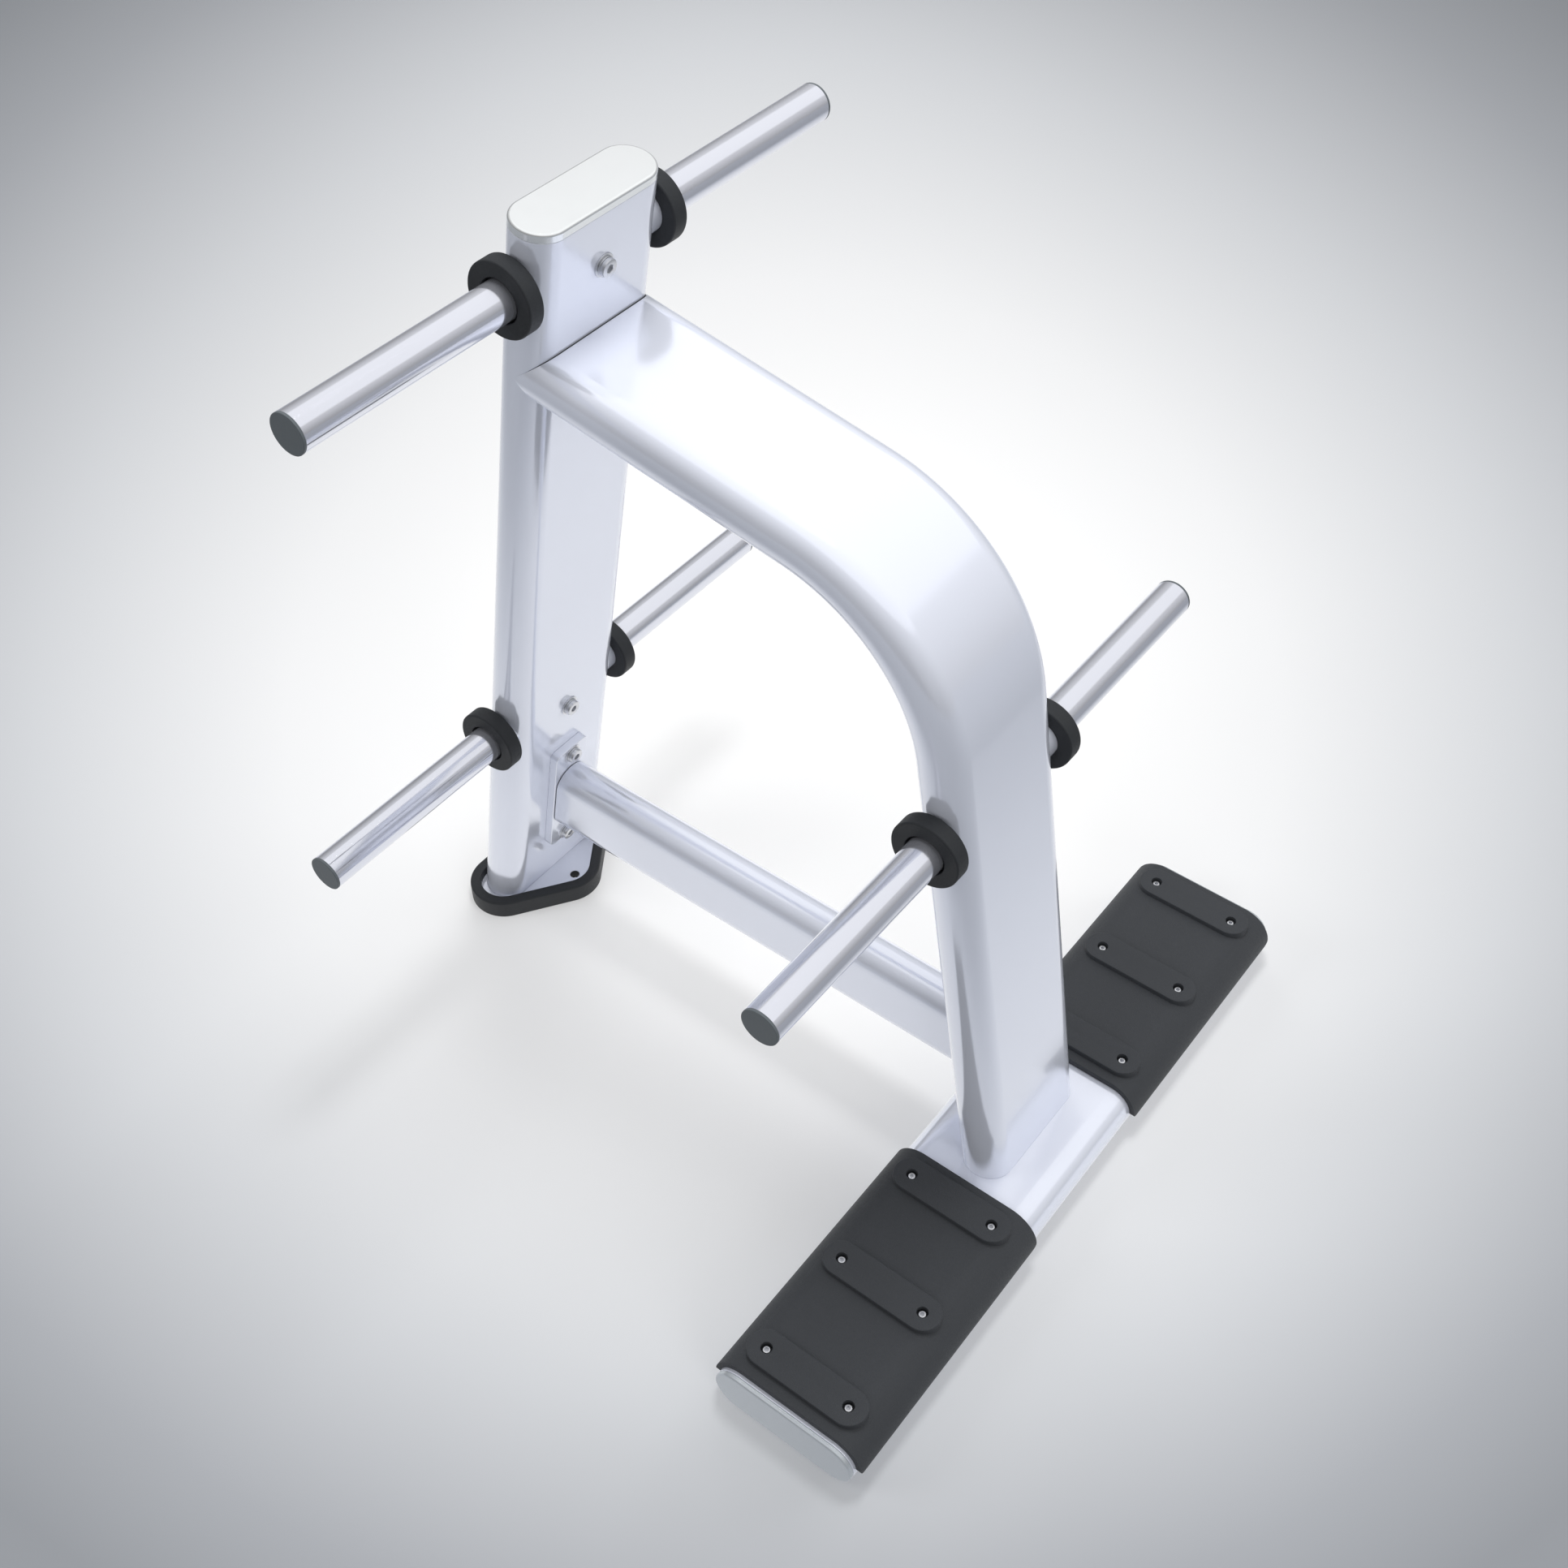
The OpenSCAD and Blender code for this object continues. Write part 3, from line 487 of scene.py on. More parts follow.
def socket_head(name, head, height, socket, shank, shank_length, bevel, steps=48):
    """A bolt with a hexagon socket, its head's underside at zero and d along Z."""
    a = np.linspace(0, 2 * math.pi, steps, endpoint=False)
    wall = socket / 2 / np.cos((a + math.pi / 6) % (math.pi / 3) - math.pi / 6)
    r, lip, deep = head / 2, bevel * 0.6, height * 0.15
    rows = [
        (shank / 2, -shank_length), (shank / 2, 0.0), (r - bevel * 0.3, 0.0), (r, bevel * 0.3),
        (r, height - bevel), (r - bevel * 0.3, height - bevel * 0.3), (r - bevel, height),
        (wall + lip, height), (wall, height - lip), (wall, deep),
    ]
    rings = [np.stack([w * np.cos(a), w * np.sin(a), np.full(steps, z)], 1) for w, z in rows]
    return skin(name, rings)


def washer(name, outer, hole, height, edge, slit=0.0, steps=64):
    """A flat ring on Z, open at a slit where one is given."""
    section = softened(
        [(hole / 2, 0), (outer / 2, 0), (outer / 2, height), (hole / 2, height)], (edge,) * 4, 3
    )
    if not slit:
        return turned_piece(name, plumb(), section, looped=True, steps=steps)
    opening = slit / outer
    rings, shading = [], []
    for a in np.linspace(opening, 2 * math.pi - opening, steps):
        c, s = math.cos(a), math.sin(a)
        rings.append(np.array([(r * c, r * s, d) for r, d in section[0]]))
        shading.append(np.array([(r * c, r * s, d) for r, d in section[1]]))
    return skin(name, rings, shading)


def dress(made, coats, slot, *nodes, coat=None):
    """Gives a piece the finish of its slot or of its own coat, puts it under the root body, and
    hides the frame nodes that it stands for.
    """
    made.data.materials.clear()
    made.data.materials.append(coats[coat or slot])
    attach(made, "root")
    if nodes:
        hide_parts(*nodes)


# Geometry Nodes


def feed(tree, node, inputs):
    """Gives a node's inputs their sockets or plain values."""
    for key, value in inputs.items():
        if isinstance(value, bpy.types.NodeSocket):
            tree.links.new(value, node.inputs[key])
        else:
            node.inputs[key].default_value = value
    return node


def add(tree, kind, inputs=None, **settings):
    """A new node with its own settings and what its inputs take."""
    node = tree.nodes.new(kind)
    for name, value in settings.items():
        setattr(node, name, value)
    return feed(tree, node, inputs or {})


def calc(tree, operation, *values):
    """Result of a math node."""
    return add(tree, "ShaderNodeMath", dict(enumerate(values)), operation=operation).outputs[0]


def vector(tree, operation, *values):
    """Result of a vector math node."""
    keys = (0, "Scale") if operation == "SCALE" else (0, 1)
    made = add(tree, "ShaderNodeVectorMath", dict(zip(keys, values)), operation=operation)
    return made.outputs["Value" if operation == "DOT_PRODUCT" else "Vector"]


def node_tree(name, sockets):
    """A new Geometry Nodes tree, and what comes in through its named inputs."""
    tree = bpy.data.node_groups.new(name, "GeometryNodeTree")
    tree.interface.new_socket("Geometry", in_out="OUTPUT", socket_type="NodeSocketGeometry")
    for key, kind in {"Geometry": "Geometry", **sockets}.items():
        tree.interface.new_socket(key, in_out="INPUT", socket_type="NodeSocket" + kind)
    return tree, add(tree, "NodeGroupInput").outputs


def put_on(tree, start, points, **how):
    """Ends a tree with its piece on every point, made real and given its finish."""
    info = add(tree, "GeometryNodeObjectInfo", {"Object": start["Piece"]}).outputs["Geometry"]
    put = add(tree, "GeometryNodeInstanceOnPoints", {"Points": points, "Instance": info, **how})
    real = add(tree, "GeometryNodeRealizeInstances", {"Geometry": put.outputs[0]}).outputs[0]
    paint = {"Geometry": real, "Material": start["Finish"]}
    made = add(tree, "GeometryNodeSetMaterial", paint).outputs[0]
    add(tree, "NodeGroupOutput", {"Geometry": made})


def seats_tree():
    """Sets a piece on every point, its Z along the point's facing, and gives it a finish."""
    tree, start = node_tree("stand_seats", {
        "Piece": "Object", "Lift": "Float", "Size": "Float", "Finish": "Material",
    })
    facing = add(
        tree, "GeometryNodeInputNamedAttribute", {"Name": "facing"}, data_type="FLOAT_VECTOR"
    ).outputs["Attribute"]
    lift = vector(tree, "SCALE", facing, start["Lift"])
    lifted = {"Geometry": start["Geometry"], "Offset": lift}
    points = add(tree, "GeometryNodeSetPosition", lifted).outputs[0]
    turn = add(tree, "FunctionNodeAlignRotationToVector", {"Vector": facing}, axis="Z").outputs[0]
    put_on(tree, start, points, Rotation=turn, Scale=start["Size"])
    return tree


def rows_tree():
    """Sets a piece on a grid of ribs by screws and gives it a finish."""
    tree, start = node_tree("stand_pad_rows", {
        "Piece": "Object", "Middle": "Vector", "Ribs": "Int", "Rib pitch": "Float",
        "Screw pitch": "Float", "Finish": "Material",
    })
    reach = calc(tree, "MULTIPLY", calc(tree, "SUBTRACT", start["Ribs"], 1.0), start["Rib pitch"])
    grid = add(tree, "GeometryNodeMeshGrid", {
        "Size X": reach, "Size Y": start["Screw pitch"], "Vertices X": start["Ribs"],
        "Vertices Y": 2,
    }).outputs["Mesh"]
    moved = {"Geometry": grid, "Translation": start["Middle"]}
    put_on(tree, start, add(tree, "GeometryNodeTransform", moved).outputs[0])
    return tree


def grown(name, carrier, tree, values):
    """Runs a tree on a carrier object and returns its result as a plain object."""
    modifier = carrier.modifiers.new("Grow", "NODES")
    modifier.node_group = tree
    for item in tree.interface.items_tree:
        if item.item_type == "SOCKET" and item.in_out == "INPUT" and item.name in values:
            modifier[item.identifier] = values[item.name]
    carrier.update_tag()
    bpy.context.view_layer.update()
    evaluated = carrier.evaluated_get(bpy.context.evaluated_depsgraph_get())
    mesh = bpy.data.meshes.new_from_object(evaluated)
    mesh.name = name
    made = placed(name, mesh)
    carrier.modifiers.remove(modifier)
    bpy.data.objects.remove(carrier)
    return made


def seats(places):
    """A carrier with one point on each place, which remembers where it faces."""
    mesh = bpy.data.meshes.new("seats")
    mesh.from_pydata([tuple(p.origin) for p in places], [], [])
    facing = mesh.attributes.new("facing", "FLOAT_VECTOR", "POINT")
    ways = np.concatenate([p.axes[2] for p in places]).astype(np.float32)
    facing.data.foreach_set("vector", ways)
    return placed("seats", mesh)


# Finishes


def shader_group(name, result, sockets):
    """A new group of shader nodes, what comes in, and the object's own coordinates."""
    tree = bpy.data.node_groups.new(name, "ShaderNodeTree")

    def socket(key, way):
        kind = "NodeSocketColor" if key == "Colour" else "NodeSocketFloat"
        return tree.interface.new_socket(key, in_out=way, socket_type=kind)

    socket(result, "OUTPUT")
    for key, default in sockets.items():
        socket(key, "INPUT").default_value = default
    where = add(tree, "ShaderNodeTexCoord").outputs["Object"]
    return tree, add(tree, "NodeGroupInput").outputs, where


def grain_group():
    """Uneven value between two limits at a given scale."""
    name = "stand_grain"
    if name in bpy.data.node_groups:
        return bpy.data.node_groups[name]
    tree, start, where = shader_group(
        name, "Value", {"Scale": 400.0, "Detail": 3.0, "Low": 0.3, "High": 0.4}
    )
    noise = add(tree, "ShaderNodeTexNoise", {
        "Vector": where, "Scale": start["Scale"], "Detail": start["Detail"],
    })
    spread = add(tree, "ShaderNodeMapRange", {
        "Value": noise.outputs["Fac"], "From Min": 0.3, "From Max": 0.7,
        "To Min": start["Low"], "To Max": start["High"],
    })
    add(tree, "NodeGroupOutput", {"Value": spread.outputs["Result"]})
    return tree


def tone_group():
    """A colour that drifts a little across the surface, with fine specks."""
    name = "stand_tone"
    if name in bpy.data.node_groups:
        return bpy.data.node_groups[name]
    tree, start, where = shader_group(name, "Colour", {
        "Colour": (1.0, 1.0, 1.0, 1.0), "Drift": 0.03, "Drift scale": 4.0,
        "Speck": 0.02, "Speck scale": 900.0,
    })
    value = 1.0
    for kind in ("Drift", "Speck"):
        noise = add(tree, "ShaderNodeTexNoise", {"Vector": where, "Scale": start[kind + " scale"]})
        centred = calc(tree, "SUBTRACT", noise.outputs["Fac"], 0.5)
        value = calc(tree, "MULTIPLY_ADD", centred, start[kind], value)
    add(tree, "NodeGroupOutput", {"Colour": vector(tree, "SCALE", start["Colour"], value)})
    return tree


def finish(name, shade, metallic, rough, grain_scale, bump, bump_scale, constants):
    """A finish from the shared groups: its tone, its uneven gloss and its fine relief."""
    material = bpy.data.materials.new(name)
    material.use_nodes = True
    tree = material.node_tree

    def use(group, **values):
        return add(tree, "ShaderNodeGroup", values, node_tree=group).outputs[0]

    relief = use(grain_group(), Scale=bump_scale, Low=0.0, High=1.0)
    bumps = add(tree, "ShaderNodeBump", {"Strength": bump, "Distance": RELIEF, "Height": relief})
    feed(tree, tree.nodes["Principled BSDF"], {
        "Base Color": use(tone_group(), Colour=(*shade, 1.0)), "Metallic": metallic,
        "Roughness": use(grain_group(), Scale=grain_scale, Low=rough[0], High=rough[1]),
        "Normal": bumps.outputs[0], **constants,
    })
    return material


def finishes(settings):
    """Every finish of the stand by its name in COATS, made once."""
    shades = {coat: getattr(settings.finish, coat.replace("pad_rubber", "pad")) for coat in COATS}
    return {
        coat: bpy.data.materials.get(f"stand_{coat}") or finish(f"stand_{coat}", shades[coat], *row)
        for coat, row in COATS.items()
    }


# Operators


class StandOperator:
    """What every operator of the stand shares."""

    bl_options = {"REGISTER", "UNDO"}

    def at_hand(self, context):
        """The settings, where the parts lie, and the finishes."""
        settings = context.scene.stand
        return settings, StandPlaces(settings), finishes(settings)


class STAND_OT_upright(StandOperator, bpy.types.Operator):
    """Make the leaning upright and its top cap"""

    bl_idname = "stand.upright"
    bl_label = "Upright"

    def execute(self, context):
        settings, places, coats = self.at_hand(context)
        t, place = settings.tube, places.upright
        outline = flat_oval(t.width, t.thickness, settings.round_steps)
        seam = t.upright_length - t.top_cap
        foot = level_cut(place, outline, settings.base.plate_top)
        tube = straight("upright_tube", place, outline, foot, seam, t.cut_edge)
        dress(tube, coats, "paint", "rear_upright")
        cap = straight(
            "upright_cap", place, outline, seam + CLEAR, t.upright_length, t.cut_edge,
            t.top_cap_edge, CAP_STEPS,
        )
        dress(cap, coats, "cap_paint", "upright_top_cap")
        return {"FINISHED"}


class STAND_OT_arch(StandOperator, bpy.types.Operator):
    """Make the bent arch, coped to the upright and cut level on the base beam"""

    bl_idname = "stand.arch"
    bl_label = "Arch"

    bend_steps: IntProperty(name="Bend steps", description="Steps of the bend", default=56, min=8)

    def execute(self, context):
        settings, places, coats = self.at_hand(context)
        t, run, leg = settings.tube, places.run, places.leg
        outline = flat_oval(t.width, t.thickness, settings.round_steps)
        points, normals = outline
        past = np.clip(np.abs(points[:, 0]) - (t.width - t.thickness) / 2, 0, places.half)
        cope = np.sqrt(places.half**2 - past**2) + t.joint_gap
        zeros = np.zeros(len(points))
        section = np.column_stack([points[:, 0], points[:, 1] + t.bend_radius, zeros])
        bend = ([], [])
        for k in range(self.bend_steps + 1):
            angle = places.turn * k / self.bend_steps
            b = run.axes[1] * math.cos(angle) + run.axes[2] * math.sin(angle)
            there = Place(places.bend_centre, (1, 0, 0), b, run.axes[2])
            bend[0].append(there.points(section))
            bend[1].append(there.turned(np.column_stack([normals, zeros])))
        down = Place(leg.origin, (1, 0, 0), -leg.axes[1], -leg.axes[2])
        foot = level_cut(down, outline, places.base_top)
        tube = bar(
            "arch_tube", end_rings(run, outline, cope, t.cut_edge, -1), bend,
            end_rings(down, outline, foot, t.cut_edge, 1),
        )
        dress(tube, coats, "paint", "front_arch")
        # A dark rubber strip sunk in the joint: painted shade of the gap between arch and upright
        shade_outline = (points - normals * t.shade_strip_depth, normals)
        start, stop = cope - t.joint_gap, cope + SHADE_STRIP_WIDTH
        shade_strip = straight("arch_joint", run, shade_outline, start, stop, SHADE_STRIP_EDGE)
        dress(shade_strip, coats, "rubber")
        return {"FINISHED"}


class STAND_OT_base(StandOperator, bpy.types.Operator):
    """Make the base beam and its end caps"""

    bl_idname = "stand.base"
    bl_label = "Base beam"

    def execute(self, context):
        settings, places, coats = self.at_hand(context)
        t, b = settings.tube, settings.base
        outline = flat_oval(t.width, t.thickness, settings.round_steps)
        end = b.length / 2 - b.cap
        along = Place((0, places.base_y, places.base_z), (0, 1, 0), (0, 0, 1), (1, 0, 0))
        tube = straight("base_tube", along, outline, -end, end, t.cut_edge)
        dress(tube, coats, "paint", "base_beam")
        for side, sign in SIDES.items():
            out = Place(along.origin, (0, 1, 0), (0, 0, 1), (sign, 0, 0))
            cap = straight(
                f"base_end_{side}", out, outline, end + CLEAR, b.length / 2, t.cut_edge,
                b.cap_edge, CAP_STEPS,
            )
            # The end caps take the top cap's paint darkened with painted shade
            dress(cap, coats, "cap_paint", f"base_cap_{side}", coat="end_cap")
        return {"FINISHED"}


class STAND_OT_cross(StandOperator, bpy.types.Operator):
    """Make the low cross tube and its bolted flange"""

    bl_idname = "stand.cross"
    bl_label = "Cross tube"

    def execute(self, context):
        settings, places, coats = self.at_hand(context)
        t, up = settings.tube, places.upright
        outline = flat_oval(t.cross_height, t.cross_width, settings.round_steps)
        back = Place((0, 0, t.cross_level), (0, 0, 1), (1, 0, 0), (0, -1, 0))
        z = t.cross_level + outline[0][:, 0]
        tan, cos = math.tan(t.lean), math.cos(t.lean)
        start = -(places.upright_y - z * tan - (places.half + t.flange_thickness) / cos)
        stop = -(places.leg_y + (z - places.base_top) * tan + places.half / cos)
        near, far = start + t.joint_gap / 2, stop - CLEAR
        tube = straight("cross_bar", back, outline, near, far, t.cut_edge)
        dress(tube, coats, "paint", "cross_tube")
        # A dark rubber strip sunk in the joint: painted shade of the gap at the flange
        shade_outline = (outline[0] - outline[1] * t.shade_strip_depth / 2, outline[1])
        near, far = start + CLEAR, start + SHADE_STRIP_WIDTH
        shade_strip = straight("cross_joint", back, shade_outline, near, far, SHADE_STRIP_EDGE / 2, SHADE_STRIP_EDGE)
        dress(shade_strip, coats, "rubber")
        w, h = t.flange_width / 2, t.flange_height / 2
        plate = softened([(-w, -h), (w, -h), (w, h), (-w, h)], (t.flange_corner,) * 4, 8)
        at = up.points([0, places.half, places.flange_s])
        front = Place(at, (1, 0, 0), up.axes[2], up.axes[1])
        depth = t.flange_thickness
        flange = straight("cross_plate", front, plate, CLEAR, depth, PLATE_EDGE, OUTER_EDGE)
        dress(flange, coats, "paint", "cross_flange")
        return {"FINISHED"}


class STAND_OT_foot(StandOperator, bpy.types.Operator):
    """Make the moulded shoe round the foot plate"""

    bl_idname = "stand.foot"
    bl_label = "Foot"

    def execute(self, context):
        settings, places, coats = self.at_hand(context)
        b, y = settings.base, places.foot_y
        lobes = np.array([(-b.lobe_half, y), (0, y - b.lobe_depth), (b.lobe_half, y)])
        middles, normals = [], []
        for i in range(3):
            before, after = unit(lobes[i] - lobes[i - 1]), unit(lobes[(i + 1) % 3] - lobes[i])
            a0, a1 = math.atan2(-before[0], before[1]), math.atan2(-after[0], after[1])
            while a1 < a0:
                a1 += 2 * math.pi
            for a in np.linspace(a0, a1, settings.round_steps):
                middles.append(lobes[i])
                normals.append((math.cos(a), math.sin(a)))
        middles, normals = np.array(middles), np.array(normals)
        r, inner, skirt = b.shoe_radius, b.shoe_radius - b.shoe_wall, b.shoe_radius - SHOE_SKIRT
        low = b.plate_top - SHOE_LAP
        section = softened(
            [(inner, low), (skirt, low), (skirt, 0.0), (r, 0.0), (r, b.shoe_height),
             (inner, b.shoe_height)],
            (FINE_EDGE, FINE_EDGE, FINE_EDGE, OUTER_EDGE, b.shoe_edge, SHOE_INNER_EDGE), 5,
        )
        rings, shading = [], []
        for (r, z), (nr, nz) in zip(*section):
            rings.append(np.column_stack([middles + r * normals, np.full(len(normals), z)]))
            shading.append(np.column_stack([nr * normals, np.full(len(normals), nz)]))
        dress(skin("foot_shoe", rings, shading, looped=True), coats, "rubber", "foot_rubber")
        hole = plumb(y=y - b.lobe_depth - b.anchor_shift)
        inner, outer = b.anchor_hole / 2 - SHADE_LINING_WALL, b.anchor_hole / 2 - CLEAR
        low, top = SHADE_LINING_FOOT, b.plate_top - SHADE_LINING_DROP
        # The anchor hole's dark rubber lining is painted shade on the hole's walls
        shade_lining = softened([(inner, low), (outer, low), (outer, top), (inner, top)], (CLEAR,) * 4, 2)
        made = turned_piece("foot_hole_lining", hole, shade_lining, looped=True, steps=48)
        dress(made, coats, "rubber")
        return {"FINISHED"}


class STAND_OT_horns(StandOperator, bpy.types.Operator):
    """Make the chrome horns with their sockets, collars and caps"""

    bl_idname = "stand.horns"
    bl_label = "Horns"

    def execute(self, context):
        settings, places, coats = self.at_hand(context)
        h, r = settings.horn, settings.horn.diameter / 2
        end, reach, outer = h.reach - h.cap, h.socket_end, h.socket_diameter / 2
        rod = disc_profile(r, -end, end, FINE_EDGE, FINE_EDGE)
        cap = disc_profile(r, end + CLEAR, h.reach, FINE_EDGE, h.cap_bevel)
        lip, hole, wide = r + FIT, outer + FIT, h.collar_diameter / 2
        sleeve = softened(
            [(lip, -reach), (outer, -reach), (outer, reach), (lip, reach)], (PLATE_EDGE,) * 4, 3
        )
        start = settings.tube.width / 2 + h.collar_gap
        # The collar's inner lip covers the socket's end with dark rubber: painted shade in the gap
        face, shade_lip_at = start + h.collar_width, reach + FIT
        shade_lip_end = shade_lip_at + h.collar_shade_lip
        collar = softened(
            [(hole, start), (wide, start), (wide, face), (hole, face), (hole, shade_lip_end),
             (lip, shade_lip_end), (lip, shade_lip_at), (hole, shade_lip_at)],
            (COLLAR_ROOT_EDGE, h.collar_edge, h.collar_edge, COLLAR_FACE_EDGE,
             FINE_EDGE, FINE_EDGE, FINE_EDGE, FIT), 6,
        )
        for level in LEVELS:
            middle = places.horn(level, 1.0)
            made = turned_piece(f"horn_bar_{level}", middle, rod)
            dress(made, coats, "chrome", f"horn_{level}")
            made = turned_piece(f"socket_sleeve_{level}", middle, sleeve, looped=True)
            dress(made, coats, "paint", f"socket_{level}")
            for side, sign in SIDES.items():
                out, end_name = places.horn(level, sign), f"{level}_{side}"
                made = turned_piece(f"collar_ring_{end_name}", out, collar, looped=True, steps=96)
                dress(made, coats, "rubber", f"collar_{end_name}")
                made = turned_piece(f"horn_end_{end_name}", out, cap)
                dress(made, coats, "plastic", f"horn_cap_{end_name}")
        return {"FINISHED"}


class STAND_OT_bolts(StandOperator, bpy.types.Operator):
    """Make the frame's bolts with their washers"""

    bl_idname = "stand.bolts"
    bl_label = "Bolts"

    def execute(self, context):
        settings, places, coats = self.at_hand(context)
        t, b = settings.tube, settings.bolt
        tree, hole = seats_tree(), b.shank + WASHER_FIT
        flange = [places.flange_bolt(s * t.flange_pitch / 2, t.flange_thickness) for s in (-1, 1)]
        groups = {"flange": flange, **{level: [places.horn_bolt(level)] for level in LEVELS}}
        bolt = socket_head(
            "bolt_master", b.head, b.head_height, b.socket, b.shank, BOLT_LENGTH, BOLT_BEVEL
        )
        flat = washer("washer_master", b.washer, hole, b.washer_height, FINE_EDGE)
        lock = washer("lock_master", b.lock, hole, b.lock_height, PLATE_EDGE, LOCK_SLIT)
        parts = {
            "bolt": (bolt, b.washer_height + b.lock_height, "horn_bolt", "flange_bolts"),
            "washer": (flat, 0.0, "horn_washer", "flange_washers"),
            "lock": (lock, b.washer_height, "horn_lock_washer", "flange_lock_washers"),
        }
        for part, (master, lift, horn_node, flange_node) in parts.items():
            for group, where in groups.items():
                made = grown(f"{part}_{group}", seats(where), tree, {
                    "Piece": master, "Lift": lift, "Size": 1.0, "Finish": coats["zinc"],
                })
                node = flange_node if group == "flange" else f"{horn_node}_{group}"
                dress(made, coats, "zinc", node)
            bpy.data.objects.remove(master)
        return {"FINISHED"}


class STAND_OT_pad_screws(StandOperator, bpy.types.Operator):
    """Make the screws of the step pads"""

    bl_idname = "stand.pad_screws"
    bl_label = "Pad screws"

    def execute(self, context):
        settings, places, coats = self.at_hand(context)
        b, tree = settings.bolt, rows_tree()
        master = socket_head(
            "screw_master", b.screw_head, b.screw_head_height, b.screw_socket,
            SCREW_SHANK, SCREW_LENGTH, SCREW_BEVEL, 36,
        )
        for side, sign in SIDES.items():
            made = grown(f"screws_{side}", seats([plumb()]), tree, {
                "Piece": master, "Middle": (sign * b.rib_middle, places.base_y, b.screw_seat),
                "Ribs": 3, "Rib pitch": b.rib_pitch, "Screw pitch": b.screw_pitch,
                "Finish": coats["zinc"],
            })
            dress(made, coats, "zinc", f"pad_screws_{side}")
        bpy.data.objects.remove(master)
        return {"FINISHED"}


class STAND_OT_pads(StandOperator, bpy.types.Operator):
    """Make the moulded step pads from the frame's own pads, with softened edges"""

    bl_idname = "stand.pads"
    bl_label = "Step pads"

    edge: length("Edge", "Radius of the pads' edges", 0.0012)

    def execute(self, context):
        coats = self.at_hand(context)[2]
        for side in SIDES:
            node = f"step_pad_{side}"
            bm = bmesh.new()
            bm.from_mesh(frame["nodes"][node].data)
            bmesh.ops.remove_doubles(bm, verts=bm.verts, dist=MERGE)
            bmesh.ops.dissolve_limit(bm, angle_limit=FLAT, verts=bm.verts, edges=bm.edges)
            sharp = [e for e in bm.edges if e.calc_face_angle(0.0) > SHARP]
            bmesh.ops.bevel(
                bm, geom=sharp, offset=self.edge, offset_type="OFFSET", segments=3, profile=0.5,
                affect="EDGES", clamp_overlap=True, loop_slide=False,
            )
            bmesh.ops.triangulate(bm, faces=bm.faces)
            vertices = [tuple(v.co) for v in bm.verts]
            faces = [tuple(v.index for v in f.verts) for f in bm.faces]
            bm.free()
            dress(piece(f"pad_{side}", vertices, faces), coats, "pad_rubber", node)
        return {"FINISHED"}


class STAND_OT_frame_nodes(StandOperator, bpy.types.Operator):
    """Give every frame node that stays in sight its finish"""

    bl_idname = "stand.frame_nodes"
    bl_label = "Frame nodes"

    def execute(self, context):
        coats = self.at_hand(context)[2]
        slots = {s["node"]: s["material_slot"] for s in frame["record"]["subparts"]}
        for name, node in frame["nodes"].items():
            node.data.materials.clear()
            node.data.materials.append(coats[slots[name]])
        return {"FINISHED"}


class STAND_OT_stage(StandOperator, bpy.types.Operator):
    """Set up the floor, the lamps and the camera"""

    bl_idname = "stand.stage"
    bl_label = "Stage"

    def execute(self, context):
        scene = context.scene
        self.camera(scene)
        self.floor(scene)
        self.sky(scene)
        for name, (at, size, power) in LAMPS.items():
            self.lamp(name, at, size, power)
        scene.view_settings.view_transform = "Standard"
        return {"FINISHED"}

    def camera(self, scene):
        data = bpy.data.cameras.new("camera")
        data.sensor_width, data.lens, data.clip_end = SENSOR, LENS, CAMERA_REACH
        camera = placed("camera", data)
        camera.location = CAMERA
        camera.rotation_euler = Euler([math.radians(v) for v in CAMERA_TURN])
        scene.camera = camera

    def floor(self, scene):
        mesh, h = bpy.data.meshes.new("floor"), FLOOR_HALF
        mesh.from_pydata([(-h, -h, 0), (h, -h, 0), (h, h, 0), (-h, h, 0)], [], [(0, 1, 2, 3)])
        floor = placed("floor", mesh)
        floor.data.materials.append(floor_material(scene.stand))

    def sky(self, scene):
        world = bpy.data.worlds.new("studio")
        scene.world = world
        world.use_nodes = True
        tree = world.node_tree
        where = add(tree, "ShaderNodeTexCoord").outputs["Generated"]
        height = vector(tree, "DOT_PRODUCT", where, SKY_WAY)
        shade = shaded(tree, height, [(at, (grey,) * 3) for at, grey in SKY])
        direct, _, seen = rays(tree)
        # A colour mix takes its colours at 6 and 7 and gives its result at 2
        mixed = {0: direct, 6: shade, 7: (*BACKDROP, 1)}
        result = add(tree, "ShaderNodeMix", mixed, data_type="RGBA").outputs[2]
        power = calc(tree, "MULTIPLY_ADD", seen, SKY_SEEN - SKY_LIGHT, SKY_LIGHT)
        feed(tree, tree.nodes["Background"], {"Color": result, "Strength": power})

    def lamp(self, name, at, size, power):
        data = bpy.data.lights.new(name, "AREA")
        data.shape, data.size, data.energy = "DISK", size, power
        lamp = placed(name, data)
        lamp.location = at
        lamp.visible_glossy = False
        way = unit(np.subtract(LAMP_AIM, at))
        turn = math.atan2(way[1], way[0]) - math.pi / 2
        lamp.rotation_euler = Euler((math.acos(-way[2]), 0.0, turn))


def shaded(tree, value, rows):
    """Colour of a ramp that has a stop for every row of a position and a colour."""
    ramp = add(tree, "ShaderNodeValToRGB", {"Fac": value})
    stops = ramp.color_ramp.elements
    stops.remove(stops[1])
    for k, (at, shade) in enumerate(rows):
        stop = stops.new(at) if k else stops[0]
        stop.position, stop.color = at, (*shade, 1)
    return ramp.outputs["Color"]


def rays(tree):
    """Whether a surface is seen directly, is mirrored, and is either."""
    path = tree.nodes.new("ShaderNodeLightPath").outputs
    mirrored = calc(tree, "MAXIMUM", path["Is Glossy Ray"], path["Is Transmission Ray"])
    direct = path["Is Camera Ray"]
    return direct, mirrored, calc(tree, "MAXIMUM", direct, mirrored)


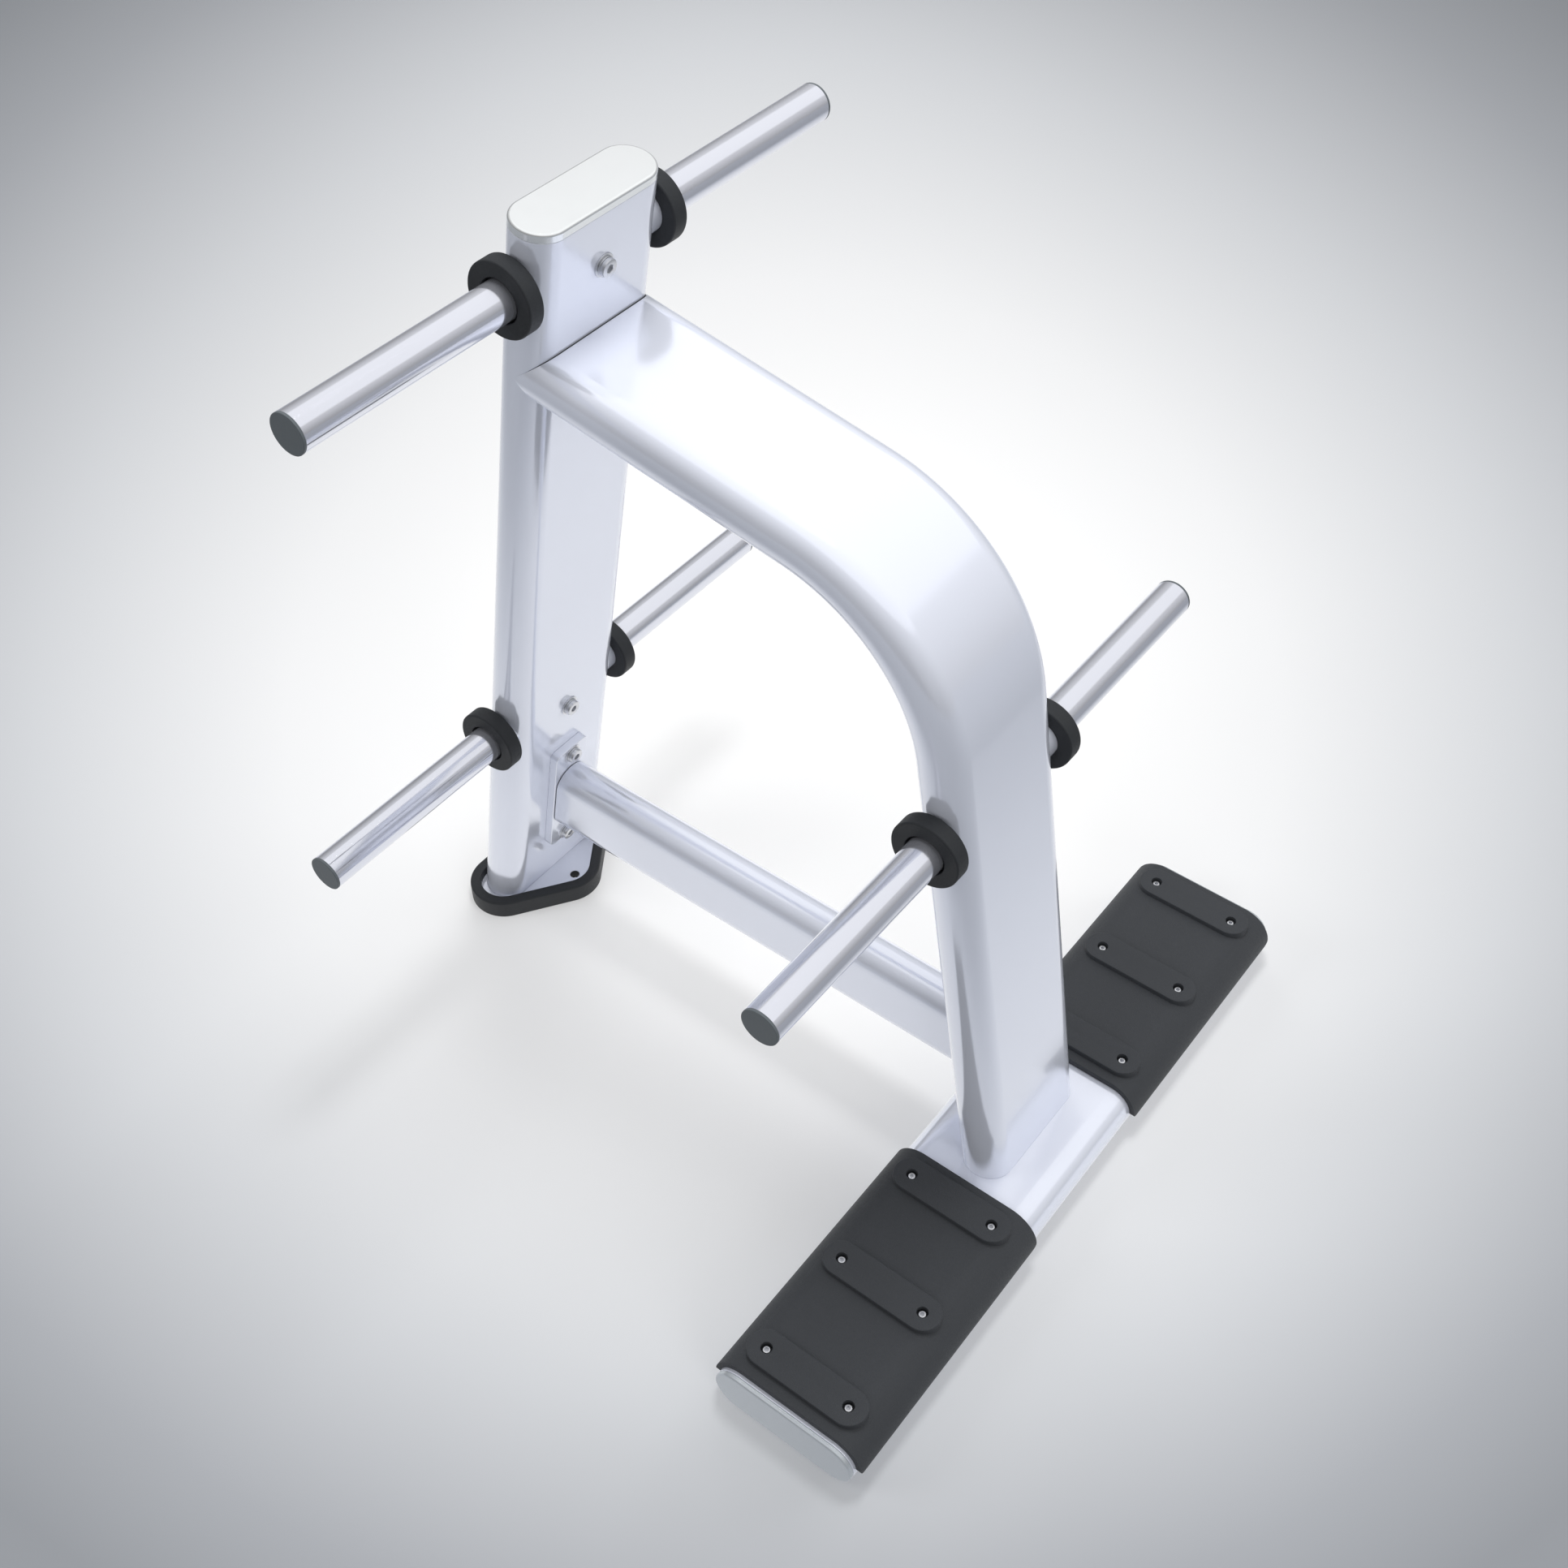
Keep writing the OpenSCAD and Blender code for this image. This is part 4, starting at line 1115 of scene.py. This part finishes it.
def floor_material(settings):
    """Pale floor with a painted pool of light, glowing and falling off to grey away from the stand,
    a pattern fixed to the floor.
    """
    material = bpy.data.materials.new("floor")
    material.use_nodes = True
    tree = material.node_tree
    n = tree.nodes
    n.remove(n["Principled BSDF"])
    turn = Euler([math.radians(v) for v in CAMERA_TURN]).to_matrix()
    away = vector(tree, "SUBTRACT", add(tree, "ShaderNodeTexCoord").outputs["Object"], CAMERA)
    across, up, deep = (
        vector(tree, "DOT_PRODUCT", away, turn.col[k] * scale)
        for k, scale in enumerate((LENS / (SENSOR / 2), LENS / (SENSOR / 2), -1.0))
    )
    u = calc(tree, "DIVIDE", across, deep)
    v = calc(tree, "SUBTRACT", calc(tree, "DIVIDE", up, deep), FALL_SHIFT)
    wide = calc(tree, "MULTIPLY", calc(tree, "MULTIPLY", u, u), FALL_ACROSS)
    long = calc(tree, "MULTIPLY", calc(tree, "MULTIPLY", v, v), FALL_ALONG)
    pool_fade = calc(tree, "MINIMUM", calc(tree, "SQRT", calc(tree, "ADD", wide, long)), FALL_LIMIT)
    # Painted pool of light: white round the stand, grey far off
    shade = shaded(
        tree, calc(tree, "DIVIDE", pool_fade, FALL_SPAN), [(at / FALL_SPAN, c) for at, c in FLOOR_POOL_SHADES]
    )
    direct, mirrored, seen = rays(tree)
    glowing = calc(
        tree, "ADD", calc(tree, "MULTIPLY", direct, GLOW_SEEN),
        calc(tree, "MULTIPLY", mirrored, GLOW_MIRRORED),
    )
    tint = vector(tree, "MULTIPLY", shade, settings.finish.floor)
    share = calc(tree, "MULTIPLY_ADD", seen, BOUNCE_SEEN, BOUNCE)
    bounce = {"Color": vector(tree, "SCALE", tint, share)}
    diffuse = add(tree, "ShaderNodeBsdfDiffuse", bounce).outputs[0]
    glow = add(tree, "ShaderNodeEmission", {"Color": shade}).outputs[0]
    surface = add(tree, "ShaderNodeMixShader", {0: glowing, 1: diffuse, 2: glow}).outputs[0]
    feed(tree, n["Material Output"], {"Surface": surface})
    return material


class STAND_PT_panel(bpy.types.Panel):
    """The stand's pieces in the sidebar"""

    bl_label = "Stand"
    bl_idname = "STAND_PT_panel"
    bl_space_type = "VIEW_3D"
    bl_region_type = "UI"
    bl_category = "Stand"

    def draw(self, context):
        for operator in OPERATORS:
            self.layout.operator(operator.bl_idname)
        for group in ("tube", "base", "horn", "bolt", "finish"):
            box = self.layout.box()
            box.label(text=group.capitalize())
            settings = getattr(context.scene.stand, group)
            for name in settings.__annotations__:
                box.prop(settings, name)


OPERATORS = (
    STAND_OT_frame_nodes, STAND_OT_upright, STAND_OT_arch, STAND_OT_base, STAND_OT_cross,
    STAND_OT_foot, STAND_OT_horns, STAND_OT_bolts, STAND_OT_pads, STAND_OT_pad_screws,
    STAND_OT_stage,
)
CLASSES = (
    StandTubeSizes, StandBaseSizes, StandHornSizes, StandBoltSizes, StandFinish, StandSettings,
    *OPERATORS, STAND_PT_panel,
)


def register():
    for cls in CLASSES:
        bpy.utils.register_class(cls)
    bpy.types.Scene.stand = PointerProperty(type=StandSettings)


def unregister():
    del bpy.types.Scene.stand
    for cls in reversed(CLASSES):
        bpy.utils.unregister_class(cls)


def main():
    register()
    for operator in OPERATORS:
        getattr(bpy.ops.stand, operator.bl_idname.split(".")[1])()
    bpy.context.view_layer.update()


if __name__ == "__main__":
    main()
